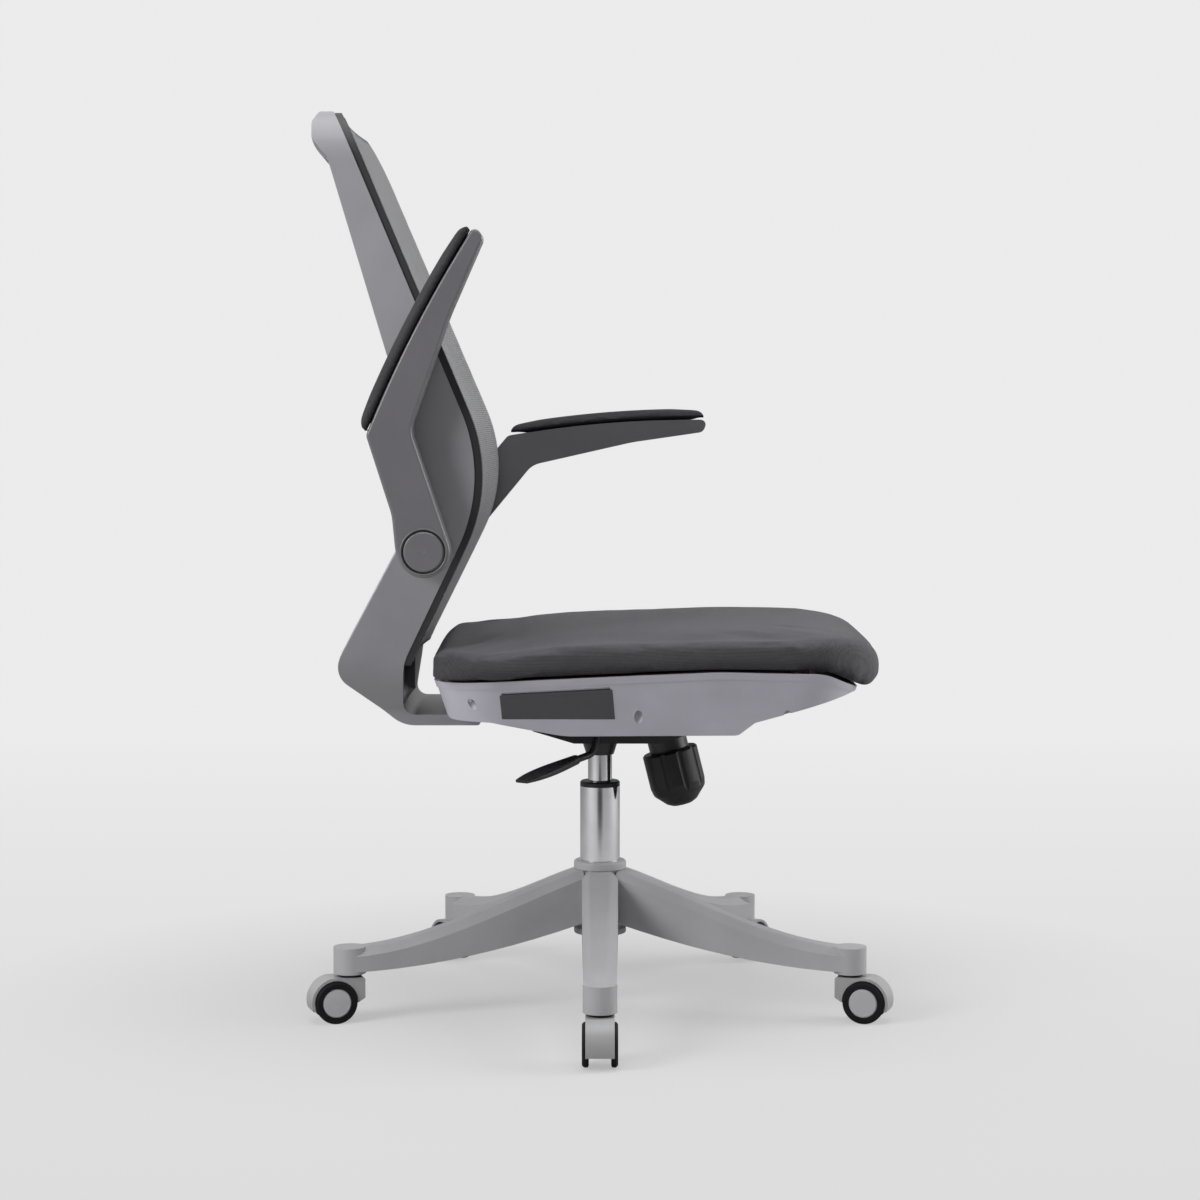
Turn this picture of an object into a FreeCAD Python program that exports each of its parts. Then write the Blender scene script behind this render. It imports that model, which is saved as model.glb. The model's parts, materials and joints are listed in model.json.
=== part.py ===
import FreeCAD, Part
import math
import os
from FreeCAD import Placement, Rotation, Vector

# Mid-back task chair with flip-up arms. Millimetres, +X is the way the chair faces, +Z is up,
# and the origin is on the floor under the column.

doc = FreeCAD.newDocument("task_chair")
sheet = doc.addObject("Spreadsheet::Sheet", "sizes")

driving_sizes = {
    # star base
    "base_radius": 300.0, "leg_count": 5, "first_leg_angle": -90.0,
    "hub_top": 170.0, "hub_bottom": 84.0, "hub_radius": 27.0,
    "collar_radius": 30.5, "collar_height": 9.0, "lip_height": 7.0,
    "leg_root_top": 161.0, "leg_root_bottom": 100.0, "leg_root_width": 42.0,
    "leg_knee_radius": 110.0, "leg_knee_top": 131.0, "leg_knee_bottom": 79.0, "leg_knee_width": 40.0,
    "leg_mid_radius": 200.0, "leg_mid_top": 100.5, "leg_mid_bottom": 64.0, "leg_mid_width": 37.0,
    "leg_end_top": 85.0, "leg_end_bottom": 58.0, "leg_crown_radius": 9.0, "leg_wall": 4.0,
    "rib_thickness": 3.0, "rib_count": 3,
    "boss_radius": 18.5, "boss_bottom": 54.8, "boss_edge_radius": 3.5,
    # casters
    "wheel_radius": 24.0, "tread_width": 7.6, "tread_inner_radius": 16.5, "tread_chamfer": 2.2,
    "caster_width": 39.0, "caster_trail": 19.0, "hood_width": 31.0, "hood_wall": 3.2, "hood_top": 51.6,
    "hood_web": 14.0, "hood_skirt": 15.0, "hood_inner_reach": 14.5, "well_gap": 1.0,
    "axle_radius": 3.0, "stem_radius": 5.5, "stem_top": 77.0, "stem_bottom": 36.0,
    "sleeve_wall": 1.6, "sleeve_flange_radius": 14.5, "sleeve_top": 80.0, "swivel_gap": 0.4,
    # gas column
    "tube_radius": 23.2, "tube_wall": 2.7, "tube_top": 257.0, "tube_foot_radius": 21.4, "tube_floor": 4.0,
    "bush_flange": 6.0, "bush_depth": 32.0,
    "cylinder_radius": 14.0, "cylinder_wall": 3.0, "cylinder_bottom": 125.0, "cylinder_top": 330.0,
    "cylinder_tip_radius": 12.8, "gland_height": 12.0, "gas_space_top": 300.0,
    "rod_radius": 5.0, "piston_height": 10.0, "piston_top": 226.0, "rod_flange_radius": 11.0,
    "rod_flange_height": 5.0, "rod_head_radius": 8.0, "rod_head_height": 4.0,
    "valve_radius": 4.0, "valve_height": 8.0, "valve_depth": 14.0, "valve_travel": 5.0,
    # tilt mechanism
    "housing_width": 114.0, "housing_wall": 3.0, "housing_rear": -80.0, "housing_front": 105.0,
    "housing_floor": 313.0, "housing_rear_floor": 328.0, "housing_front_floor": 325.0,
    "housing_rear_top": 345.0, "housing_front_top": 380.0,
    "socket_bottom": 294.0, "socket_radius": 22.0, "socket_tip_radius": 16.0,
    "pivot_x": 60.0, "pivot_z": 352.0, "tilt_axle_radius": 7.0, "axle_ear": 15.0,
    "bracket_plate": 3.0, "bracket_rear": -110.0, "bracket_front": 112.0, "bracket_width": 190.0,
    "bracket_gap": 3.0,
    "spring_wire": 4.4, "spring_radius": 13.0, "spring_pitch": 5.8, "spring_turns": 3,
    "spring_start": 8.0, "spring_leg_slope": 36.87,
    "knob_x": 81.0, "knob_z": 299.0, "knob_lean": 14.0, "knob_radius": 32.5, "knob_height": 65.0,
    "knob_grip_height": 40.0, "knob_foot_radius": 12.0, "knob_scallops": 10, "scallop_radius": 5.0,
    "scallop_depth": 1.6, "neck_radius": 23.0, "knob_gap": 0.6, "screw_radius": 5.0, "screw_reach": 37.0,
    "lever_rod_radius": 4.0, "lever_z": 342.4, "lever_elbow_y": 78.0, "lever_drop_z": 306.0,
    "lever_tip_x": -86.0, "lever_tip_y": 194.0, "lever_tip_z": 288.0, "paddle_width": 24.0,
    "paddle_thickness": 8.0, "lever_bend": 14.0,
    # seat
    "seat_line_z": 406.3, "seat_slope": 0.047, "seat_rear": -190.0, "seat_knee": 130.0, "seat_nose": 245.0,
    "seat_nose_drop": 3.0, "seat_lip": 292.0, "seat_lip_z": 390.0, "cushion_front": 308.0,
    "cushion_rear": -186.0, "cushion_width": 470.0, "cushion_thickness": 37.0, "cushion_crown": 10.5,
    "cushion_nose_z": 388.0, "soft_gap": 0.3,
    "board_thickness": 12.0, "board_rear": -172.0, "board_front": 232.0, "board_width": 424.0,
    "board_corner": 60.0,
    "pan_width": 472.0, "pan_bottom_width": 372.0, "pan_wall": 4.0, "pan_corner": 70.0,
    "pan_floor": 336.0, "pan_rear_floor": 353.0, "pan_step_x": 160.0, "pan_step_top": 353.0,
    "pan_tail_x": -120.0, "pan_window_rear": -108.0, "pan_window_front": 146.0, "pan_window_width": 208.0,
    "pan_screw_rear": -140.0, "pan_screw_mid": 42.0, "pan_screw_front": 205.0, "pan_screw_y": 201.0,
    "pan_rim_height": 8.0, "pan_rim_step": 1.2, "pan_boss_radius": 7.0, "pan_screw_radius": 2.2, "pan_screw_head": 4.2,
    "insert_rear": -108.0, "insert_front": 12.0, "insert_bottom": 358.0, "insert_top": 386.0,
    "insert_depth": 2.0,
    "bolt_radius": 3.0, "bolt_head_radius": 6.0, "bolt_head": 4.0, "bolt_clearance": 0.2,
    "bracket_bolt_x": 90.0, "bracket_bolt_rear": -90.0, "bracket_bolt_y": 80.0,
    # back
    "back_top": 1020.0, "back_top_width": 432.0, "back_width": 480.0, "back_corner": 58.0,
    "wrap": 12.0, "back_front_x": -284.0, "lumbar_x": -118.3, "lumbar_z": 621.7, "lumbar_bend": 177.0,
    "seat_gap_x": -211.0, "seat_gap_z": 417.0, "tail_x": -290.0, "tail_z": 405.0,
    "rear_lumbar_x": -184.0, "rear_lumbar_z": 609.0, "rear_lumbar_bend": 150.0,
    "lip_x": -307.0, "lip_z": 986.0, "lip_root_x": -290.0, "lip_root_z": 966.0,
    "tongue_bottom": 340.5, "tongue_top": 352.5, "tongue_front": -125.0, "tongue_width": 224.0,
    "tail_wall": 9.0,
    "opening_top": 972.0, "opening_top_width": 352.0, "opening_width": 406.0, "opening_bottom": 450.0,
    "opening_bottom_width": 300.0, "carrier_thickness": 8.0, "carrier_bottom": 412.0, "carrier_inset": 1.5,
    "mesh_thickness": 1.2, "mesh_inset": 6.0, "sheet_gap": 0.15, "back_bolt_x": -150.0,
    "back_bolt_y": 60.0,
    # arms
    "arm_pivot_x": -187.4, "arm_pivot_z": 545.0, "arm_inner_y": 243.0, "arm_width": 38.0,
    "arm_boss_radius": 28.0, "arm_edge_radius": 3.0, "arm_up_angle": 65.2, "arm_level_angle": 7.3,
    "arm_strut_angle": 43.3, "arm_strut_rise": 19.5, "arm_elbow": 87.0, "arm_elbow_height": 107.0,
    "arm_reach": 336.0, "arm_tip_height": 95.0, "arm_bow": 9.0,
    "arm_bow_radius": 1300.0,
    "arm_depth": 14.5, "arm_mid": 239.0, "arm_crotch": 112.0,
    "cap_radius": 21.5, "cap_depth": 4.0, "cap_proud": 1.0, "cap_gap": 0.3,
    "pivot_pin_radius": 9.0, "pivot_pin_grip": 30.0, "frame_boss_radius": 24.0, "arm_gap": 0.4,
    "pad_thickness": 9.0, "pad_crown": 3.0, "pad_overhang": 4.0, "pad_inner_overhang": 1.5,
    "pad_seam": 0.3,
    "running_clearance": 0.05,
}

for row, (alias, value) in enumerate(driving_sizes.items(), start=1):
    sheet.set("A%d" % row, alias)
    sheet.set("B%d" % row, str(value))
    sheet.setAlias("B%d" % row, alias)
doc.recompute()


def size(alias):
    return float(sheet.get(alias))


def bind(feature, name, formula):
    # ties a property to spreadsheet cells: "=alias" style words are prefixed with the sheet's name
    words = formula.split()
    feature.setExpression(name, " ".join("sizes." + w if w in driving_sizes else w for w in words))


nodes = {}


def node(name, feature):
    feature.Label = name
    nodes[name] = feature
    return feature


# Outlines

def rounded_loop(corners):
    # closed outline through corners (u, v) or (u, v, radius), as lines and tangent arcs
    points = [Vector(corner[0], corner[1], 0) for corner in corners]
    radii = [corner[2] if len(corner) > 2 else 0.0 for corner in corners]
    joints = []
    for i, here in enumerate(points):
        if radii[i] == 0.0:
            joints.append((here, None, here))
            continue
        to_last = (points[i - 1] - here).normalize()
        to_next = (points[(i + 1) % len(points)] - here).normalize()
        half = to_last.getAngle(to_next) / 2
        setback = radii[i] / math.tan(half)
        inward = (to_last + to_next).normalize()
        middle = here + inward * (radii[i] / math.sin(half) - radii[i])
        joints.append((here + to_last * setback, middle, here + to_next * setback))
    edges = []
    for i, (start, middle, end) in enumerate(joints):
        if middle is not None:
            edges.append(Part.Arc(start, middle, end))
        following = joints[(i + 1) % len(joints)][0]
        if end.distanceToPoint(following) > 1e-6:
            edges.append(Part.LineSegment(end, following))
    return edges


def circle_loop(u, v, radius):
    return [Part.Circle(Vector(u, v, 0), Vector(0, 0, 1), radius)]


def both_sides(half_outline):
    # outline given for the +u half from top to bottom, mirrored to the -u half
    return half_outline + [(-corner[0],) + tuple(corner[1:]) for corner in reversed(half_outline)]


def side_plane(y=0.0):
    # u is X, v is Z, normal is -Y
    return Placement(Vector(0, y, 0), Rotation(Vector(1, 0, 0), 90))


def front_plane(x=0.0):
    # u is Y, v is Z, normal is +X
    return Placement(Vector(x, 0, 0), Rotation(Vector(0, 1, 0), Vector(0, 0, 1), Vector(1, 0, 0), "XYZ"))


def plan_plane(z=0.0):
    return Placement(Vector(0, 0, z), Rotation())


def free_sketch(name, loops, placement):
    sketch = doc.addObject("Sketcher::SketchObject", name)
    for loop in loops:
        sketch.addGeometry(loop, False)
    sketch.Placement = placement
    return sketch


def body_sketch(body, name, role, loops, offset=0.0):
    sketch = body.newObject("Sketcher::SketchObject", name)
    plane = [feature for feature in body.Origin.OriginFeatures if feature.Role == role][0]
    sketch.AttachmentSupport = (plane, [""])
    sketch.MapMode = "FlatFace"
    sketch.AttachmentOffset = Placement(Vector(0, 0, offset), Rotation())
    for loop in loops:
        sketch.addGeometry(loop, False)
    return sketch


# Features

def prism(name, loops, placement, forward, backward=0.0):
    extrusion = doc.addObject("Part::Extrusion", name)
    extrusion.Base = free_sketch(name + "_outline", loops, placement)
    extrusion.DirMode = "Normal"
    extrusion.LengthFwd = forward
    extrusion.LengthRev = backward
    extrusion.Solid = True
    return extrusion


def loft(name, sections, ruled=False):
    feature = doc.addObject("Part::Loft", name)
    feature.Sections = sections
    feature.Solid = True
    feature.Ruled = ruled
    return feature


def cut(name, base, tool):
    feature = doc.addObject("Part::Cut", name)
    feature.Base = base
    feature.Tool = tool
    return feature


def common(name, base, tool):
    feature = doc.addObject("Part::Common", name)
    feature.Base = base
    feature.Tool = tool
    return feature


def fuse(name, shapes):
    feature = doc.addObject("Part::MultiFuse", name)
    feature.Shapes = shapes
    feature.Refine = True
    return feature


def cylinder(name, radius, height, placement):
    # radius and height are formulas of the sheet's words
    feature = doc.addObject("Part::Cylinder", name)
    bind(feature, "Radius", radius)
    bind(feature, "Height", height)
    feature.Placement = placement
    return feature


def turned(name, profile, placement=None):
    # solid of revolution about local Z of a closed (radius, height) profile
    sketch = free_sketch(name + "_profile", [rounded_loop(profile)], side_plane())
    feature = doc.addObject("Part::Revolution", name)
    feature.Source = sketch
    feature.Axis = Vector(0, 0, 1)
    feature.Base = Vector(0, 0, 0)
    feature.Angle = 360.0
    feature.Solid = True
    if placement is not None:
        feature.Placement = placement
    return feature


along_y = Rotation(Vector(1, 0, 0), -90)


# Star base: hub, five hollow ribbed legs with a socket boss at each end

def leg_section(body, name, radius, top, bottom, width, crown, grow=0.0):
    half = width / 2 - grow
    outline = [(half, bottom - grow), (half, top - grow - crown), (half - crown, top - grow, crown * 0.6)]
    loop = rounded_loop(both_sides(list(reversed(outline))))
    return body_sketch(body, name, "YZ_Plane", [loop], radius)


def make_star_base():
    body = doc.addObject("PartDesign::Body", "star_base")
    bore_foot = size("tube_foot_radius") + size("running_clearance")
    bore_head = size("tube_radius") + size("running_clearance")
    hub_radius, collar = size("hub_radius"), size("collar_radius")
    top, bottom = size("hub_top"), size("hub_bottom")
    lip_top = bottom + size("lip_height")
    collar_bottom = top - size("collar_height")
    hub = body_sketch(body, "hub_profile", "XZ_Plane", [rounded_loop([
        (bore_foot, bottom), (collar, bottom, 2), (collar, lip_top), (hub_radius, lip_top + 3),
        (hub_radius, collar_bottom - 3), (collar, collar_bottom), (collar, top, 3), (bore_head, top)])])
    hub_turn = body.newObject("PartDesign::Revolution", "hub_turn")
    hub_turn.Profile = hub
    hub_turn.ReferenceAxis = (hub, ["V_Axis"])
    hub_turn.Angle = 360.0

    crown = size("leg_crown_radius")
    root = hub_radius - 2.0
    stations = [
        (root, size("leg_root_top"), size("leg_root_bottom"), size("leg_root_width")),
        (size("leg_knee_radius"), size("leg_knee_top"), size("leg_knee_bottom"), size("leg_knee_width")),
        (size("leg_mid_radius"), size("leg_mid_top"), size("leg_mid_bottom"), size("leg_mid_width")),
        (size("base_radius"), size("leg_end_top"), size("leg_end_bottom"), 2 * size("boss_radius") - 0.2)]
    outer = [leg_section(body, "leg_section_%d" % i, *station, crown) for i, station in enumerate(stations)]
    leg = body.newObject("PartDesign::AdditiveLoft", "leg")
    leg.Profile = outer[0]
    leg.Sections = outer[1:]

    boss = body_sketch(body, "boss_circle", "XY_Plane",
                       [circle_loop(size("base_radius"), 0, size("boss_radius"))], size("boss_bottom"))
    boss_pad = body.newObject("PartDesign::Pad", "boss")
    boss_pad.Profile = boss
    bind(boss_pad, "Length", "leg_end_top - boss_bottom")

    # hollow underside: the same stations drawn in by the wall, from past the hub to short of the boss
    wall = size("leg_wall")
    hollow_start = collar + 6.0
    hollow_end = size("base_radius") - size("boss_radius") - 2.0

    def inset(radius):
        for (r_a, top_a, low_a, w_a), (r_b, top_b, low_b, w_b) in zip(stations, stations[1:]):
            if r_a <= radius <= r_b:
                share = (radius - r_a) / (r_b - r_a)
                return (radius, top_a + share * (top_b - top_a) - wall * 1.5,
                        low_a + share * (low_b - low_a) - 8.0, w_a + share * (w_b - w_a) - 2 * wall)

    hollows = []
    for i, radius in enumerate((hollow_start, size("leg_knee_radius"), size("leg_mid_radius"), hollow_end)):
        at, roof, floor, width = inset(radius)
        loop = rounded_loop([(-width / 2, floor), (width / 2, floor), (width / 2, roof - 6),
                             (width / 2 - 6, roof), (6 - width / 2, roof), (-width / 2, roof - 6)])
        hollows.append(body_sketch(body, "hollow_section_%d" % i, "YZ_Plane", [loop], at))
    hollow = body.newObject("PartDesign::SubtractiveLoft", "leg_hollow")
    hollow.Profile = hollows[0]
    hollow.Sections = hollows[1:]
    hollow.Ruled = True

    ribs = []
    rib_count = int(size("rib_count"))
    for i in range(rib_count):
        radius = hollow_start + (i + 1) * (hollow_end - hollow_start) / (rib_count + 1)
        at, roof, floor, width = inset(radius)
        half = width / 2 + wall / 2
        loop = rounded_loop([(-half, floor + 11), (half, floor + 11), (half, roof - 6), (half - 8, roof + 2),
                             (8 - half, roof + 2), (-half, roof - 6)])
        sketch = body_sketch(body, "rib_outline_%d" % i, "YZ_Plane", [loop], at)
        rib = body.newObject("PartDesign::Pad", "rib_%d" % i)
        rib.Profile = sketch
        bind(rib, "Length", "rib_thickness")
        ribs.append(rib)

    socket = body_sketch(body, "socket_circle", "XY_Plane",
                         [circle_loop(size("base_radius"), 0, size("stem_radius") + size("sleeve_wall"))],
                         size("boss_bottom"))
    socket_cut = body.newObject("PartDesign::Pocket", "socket")
    socket_cut.Profile = socket
    socket_cut.Reversed = True
    bind(socket_cut, "Length", "sleeve_top - boss_bottom")
    doc.recompute()

    legs = body.newObject("PartDesign::PolarPattern", "legs")
    legs.Originals = [leg, boss_pad, hollow] + ribs + [socket_cut]
    legs.Axis = (hub, ["V_Axis"])
    legs.Angle = 360.0
    bind(legs, "Occurrences", "leg_count")
    body.Tip = legs
    body.Placement = Placement(Vector(0, 0, 0), Rotation(Vector(0, 0, 1), size("first_leg_angle")))
    return node("star_base", body)


def leg_placement(index):
    angle = size("first_leg_angle") + 360.0 * index / size("leg_count")
    turn = Rotation(Vector(0, 0, 1), angle)
    return Placement(turn.multVec(Vector(size("base_radius"), 0, 0)), turn)


def ring_compound(name, shape):
    # one copy of a socket piece at the end of each leg
    copies = []
    for index in range(int(size("leg_count"))):
        copy = shape.copy()
        copy.Placement = leg_placement(index).multiply(shape.Placement)
        copies.append(copy)
    feature = doc.addObject("Part::Feature", name)
    feature.Shape = Part.makeCompound(copies)
    return node(name, feature)


def make_socket_sleeves():
    bore = size("stem_radius") + size("running_clearance")
    outer = size("stem_radius") + size("sleeve_wall") - 0.02
    flange = size("sleeve_flange_radius")
    low = size("hood_top") + size("swivel_gap")
    seat = size("boss_bottom")
    profile = rounded_loop([(bore, low), (flange - 0.8, low), (flange, low + 0.8), (flange, seat), (outer, seat),
                            (outer, size("sleeve_top") - 0.2), (bore, size("sleeve_top") - 0.2)])
    wire = Part.Wire([edge.toShape() for edge in profile])
    wire.Placement = side_plane()
    sleeve = Part.Face(wire).revolve(Vector(0, 0, 0), Vector(0, 0, 1), 360)
    return ring_compound("caster_socket_sleeves", sleeve)


# Casters: hood with a swivel stem and an axle, and two wheels with their own treads

def hood_outline():
    trail, axle_z = size("caster_trail"), size("wheel_radius")
    arch = size("wheel_radius") + size("well_gap") + size("hood_wall")
    top, skirt, reach = size("hood_top"), size("hood_skirt"), size("hood_inner_reach")
    start = Vector(trail + math.sqrt(arch ** 2 - (top - axle_z) ** 2), top, 0)
    crown = Vector(trail + arch * math.sin(math.radians(45)), axle_z + arch * math.cos(math.radians(45)), 0)
    end = Vector(trail + math.sqrt(arch ** 2 - (skirt - axle_z) ** 2), skirt, 0)
    nose = axle_z - 3.6 * size("axle_radius")
    points = [end, Vector(trail + 9, nose, 0), Vector(trail - 9, nose, 0), Vector(-reach, skirt + 13, 0),
              Vector(-reach, top - 2, 0), Vector(2 - reach, top, 0), start]
    lines = [Part.LineSegment(a, b) for a, b in zip(points, points[1:])]
    return [Part.Arc(start, crown, end)] + lines


def make_caster(index):
    place = leg_placement(index)
    prefix = "caster_%s_" % "abcde"[index]
    trail, axle_z = size("caster_trail"), size("wheel_radius")
    clearance = size("running_clearance")
    half_hood, half_web = size("hood_width") / 2, size("hood_web") / 2
    axle_point = Vector(trail, 0, axle_z)

    block = prism(prefix + "block", [hood_outline()], side_plane(), half_hood, half_hood)
    wells = []
    for side in (-1, 1):
        well = cylinder(prefix + "well_%d" % (side + 1), "wheel_radius + well_gap", "hood_width",
                        Placement(axle_point + Vector(0, side * half_web, 0),
                                  Rotation(Vector(1, 0, 0), -90 * side)))
        wells.append(well)
    stem_hole = cylinder(prefix + "stem_hole", "stem_radius + 0.02", "hood_top - stem_bottom + 1",
                         Placement(Vector(0, 0, size("stem_bottom")), Rotation()))
    axle_hole = cylinder(prefix + "axle_hole", "axle_radius + 0.02", "hood_width",
                         Placement(axle_point - Vector(0, half_hood, 0), along_y))
    hood = cut(prefix + "hood", block, fuse(prefix + "hood_cuts", wells + [stem_hole, axle_hole]))
    hood.Placement = place
    node(prefix + "hood", hood)

    axle_reach = size("caster_width") / 2 - 3.3
    stem = cylinder(prefix + "stem", "stem_radius", "stem_top - stem_bottom",
                    Placement(Vector(0, 0, size("stem_bottom")), Rotation()))
    axle = doc.addObject("Part::Cylinder", prefix + "axle")
    bind(axle, "Radius", "axle_radius")
    axle.Height = 2 * axle_reach
    axle.Placement = Placement(axle_point - Vector(0, axle_reach, 0), along_y)
    pins = doc.addObject("Part::Compound", prefix + "pins")
    pins.Links = [stem, axle]
    pins.Placement = place
    node(prefix + "pins", pins)

    rim = size("tread_inner_radius")
    face = size("caster_width") / 2
    tread_inside = face - size("tread_width")
    hub_inside = half_web + 0.3
    bore = size("axle_radius") + clearance
    for side, word in ((1, "left"), (-1, "right")):
        turn = Rotation(Vector(1, 0, 0), -90 * side)
        wheel_place = place.multiply(Placement(axle_point, turn))
        hub = turned(prefix + word + "_hub", [
            (bore, hub_inside), (6.5, hub_inside), (6.5, tread_inside + 0.4), (rim, tread_inside + 0.4),
            (rim, face - 1.2), (rim - 1.4, face - 0.4), (0, face - 0.1), (0, axle_reach + 0.2),
            (bore, axle_reach + 0.2)], wheel_place)
        node(prefix + word + "_hub", hub)
        edge = size("tread_chamfer")
        tread = turned(prefix + word + "_tread", [
            (rim + 0.02, tread_inside), (size("wheel_radius") - edge, tread_inside),
            (size("wheel_radius"), tread_inside + edge / 2), (size("wheel_radius"), face - 0.3 - edge),
            (size("wheel_radius") - edge, face - 0.3), (rim + 0.02, face - 0.3)], wheel_place)
        node(prefix + word + "_tread", tread)


# Gas column

def make_gas_column():
    outer, wall, top = size("tube_radius"), size("tube_wall"), size("tube_top")
    foot, low, head = size("tube_foot_radius"), size("hub_bottom"), size("hub_top")
    clearance = size("running_clearance")
    floor = low + size("tube_floor")
    bore = outer - wall
    rod_hole = size("rod_radius") + clearance
    node("gas_outer_tube", turned("gas_outer_tube", [
        (rod_hole, low), (foot, low), (outer, head), (outer, top), (bore, top), (bore, head),
        (foot - wall, floor + 4), (foot - wall, floor), (rod_hole, floor)]))

    shaft = size("cylinder_radius")
    depth = top - size("bush_depth")
    flange_top = top + size("bush_flange")
    node("gas_guide_bush", turned("gas_guide_bush", [
        (shaft + clearance, depth), (bore - 0.02, depth), (bore - 0.02, top), (outer, top),
        (outer, flange_top - 1.5), (outer - 1.5, flange_top), (shaft + clearance, flange_top)]))

    tip, tip_top = size("cylinder_tip_radius"), size("cylinder_top")
    bottom = size("cylinder_bottom")
    space = shaft - size("cylinder_wall")
    valve_hole = size("valve_radius") + clearance
    node("gas_cylinder", turned("gas_cylinder", [
        (rod_hole, bottom), (shaft - 1, bottom), (shaft, bottom + 1), (shaft, size("socket_bottom")),
        (tip, tip_top),
        (valve_hole, tip_top), (valve_hole, tip_top - size("valve_depth") - size("valve_travel")),
        (0, tip_top - size("valve_depth") - size("valve_travel")), (0, size("gas_space_top")),
        (space, size("gas_space_top")), (space, bottom + size("gland_height")),
        (rod_hole, bottom + size("gland_height"))]))

    rod, piston_top = size("rod_radius"), size("piston_top")
    piston_low = piston_top - size("piston_height")
    flange_z = floor + clearance
    flange_high = flange_z + size("rod_flange_height")
    head_top = low - clearance
    head_low = head_top - size("rod_head_height")
    node("gas_spindle", turned("gas_spindle", [
        (0, head_low), (size("rod_head_radius"), head_low), (size("rod_head_radius"), head_top),
        (rod, head_top), (rod, flange_z), (size("rod_flange_radius"), flange_z),
        (size("rod_flange_radius"), flange_high), (rod, flange_high), (rod, piston_low),
        (space - clearance, piston_low), (space - clearance, piston_top), (0, piston_top)]))

    button_top = tip_top + size("valve_height")
    valve = cylinder("valve_button", "valve_radius", "valve_height + valve_depth",
                     Placement(Vector(0, 0, button_top - size("valve_height") - size("valve_depth")),
                               Rotation()))
    node("valve_button", valve)


# Tilt mechanism

def seat_line(x):
    # height in side view of the line where cushion and board meet
    knee, nose, slope = size("seat_knee"), size("seat_nose"), size("seat_slope")
    past_knee = max(0.0, x - knee)
    return size("seat_line_z") + slope * x - past_knee * (slope + size("seat_nose_drop") / (nose - knee))


def plate_top(x):
    return seat_line(x) - size("soft_gap") - size("board_thickness")


def knob_axis_placement(distance):
    # a point on the leaning knob axis, distance below the knob's top face; local Z points down the axis
    lean = math.radians(size("knob_lean"))
    down = Vector(math.sin(lean), 0, -math.cos(lean))
    start = Vector(size("knob_x"), 0, size("knob_z"))
    return Placement(start + down * distance, Rotation(Vector(0, 0, 1), down))


def make_mechanism_housing():
    half, wall = size("housing_width") / 2, size("housing_wall")
    rear, front, floor = size("housing_rear"), size("housing_front"), size("housing_floor")

    def outline(inset, lift):
        return rounded_loop([
            (rear + inset, size("housing_rear_floor") + inset, 6), (-30, floor + inset, 12),
            (70, floor + inset, 12), (front - inset, size("housing_front_floor") + inset, 8),
            (front - inset, size("housing_front_top") + lift, 0 if lift else 8),
            (rear + inset, size("housing_rear_top") + lift, 0 if lift else 6)])

    shell = prism("housing_shell", [outline(0, 0)], side_plane(), half, half)
    space = prism("housing_space", [outline(wall, 40)], side_plane(), half - wall, half - wall)
    tray = cut("housing_tray", shell, space)
    socket = turned("housing_socket", [
        (0, size("socket_bottom")), (size("socket_tip_radius"), size("socket_bottom"), 1.5),
        (size("socket_radius"), floor), (size("socket_radius"), size("cylinder_top") - 3),
        (0, size("cylinder_top") - 3)])
    neck = cylinder("housing_neck", "neck_radius", "26 - knob_gap",
                    knob_axis_placement(-26))
    block = fuse("housing_block", [tray, socket, neck])
    tip, shaft = size("cylinder_tip_radius"), size("cylinder_radius")
    taper = turned("socket_taper", [
        (0, size("socket_bottom") - 1), (shaft + 0.03, size("socket_bottom") - 1),
        (shaft + 0.03, size("socket_bottom")), (tip + 0.03, size("cylinder_top")), (0, size("cylinder_top"))])
    screw_hole = cylinder("screw_hole", "screw_radius + running_clearance", "60", knob_axis_placement(-50))
    axle_hole = cylinder("housing_axle_hole", "tilt_axle_radius + 0.02", "housing_width + 2",
                         Placement(Vector(size("pivot_x"), -half - 1, size("pivot_z")), along_y))
    lever_hole = cylinder("lever_hole", "lever_rod_radius + 0.25", "housing_width / 2",
                          Placement(Vector(0, -half - 1, size("lever_z")), along_y))
    holes = fuse("housing_holes", [taper, screw_hole, axle_hole, lever_hole])
    node("mechanism_housing", cut("mechanism_housing", block, holes))

    reach = half + size("bracket_gap") + size("bracket_plate") + 4
    axle = doc.addObject("Part::Cylinder", "tilt_axle")
    bind(axle, "Radius", "tilt_axle_radius")
    axle.Height = 2 * reach
    axle.Placement = Placement(Vector(size("pivot_x"), -reach, size("pivot_z")), along_y)
    node("tilt_axle", axle)


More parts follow.
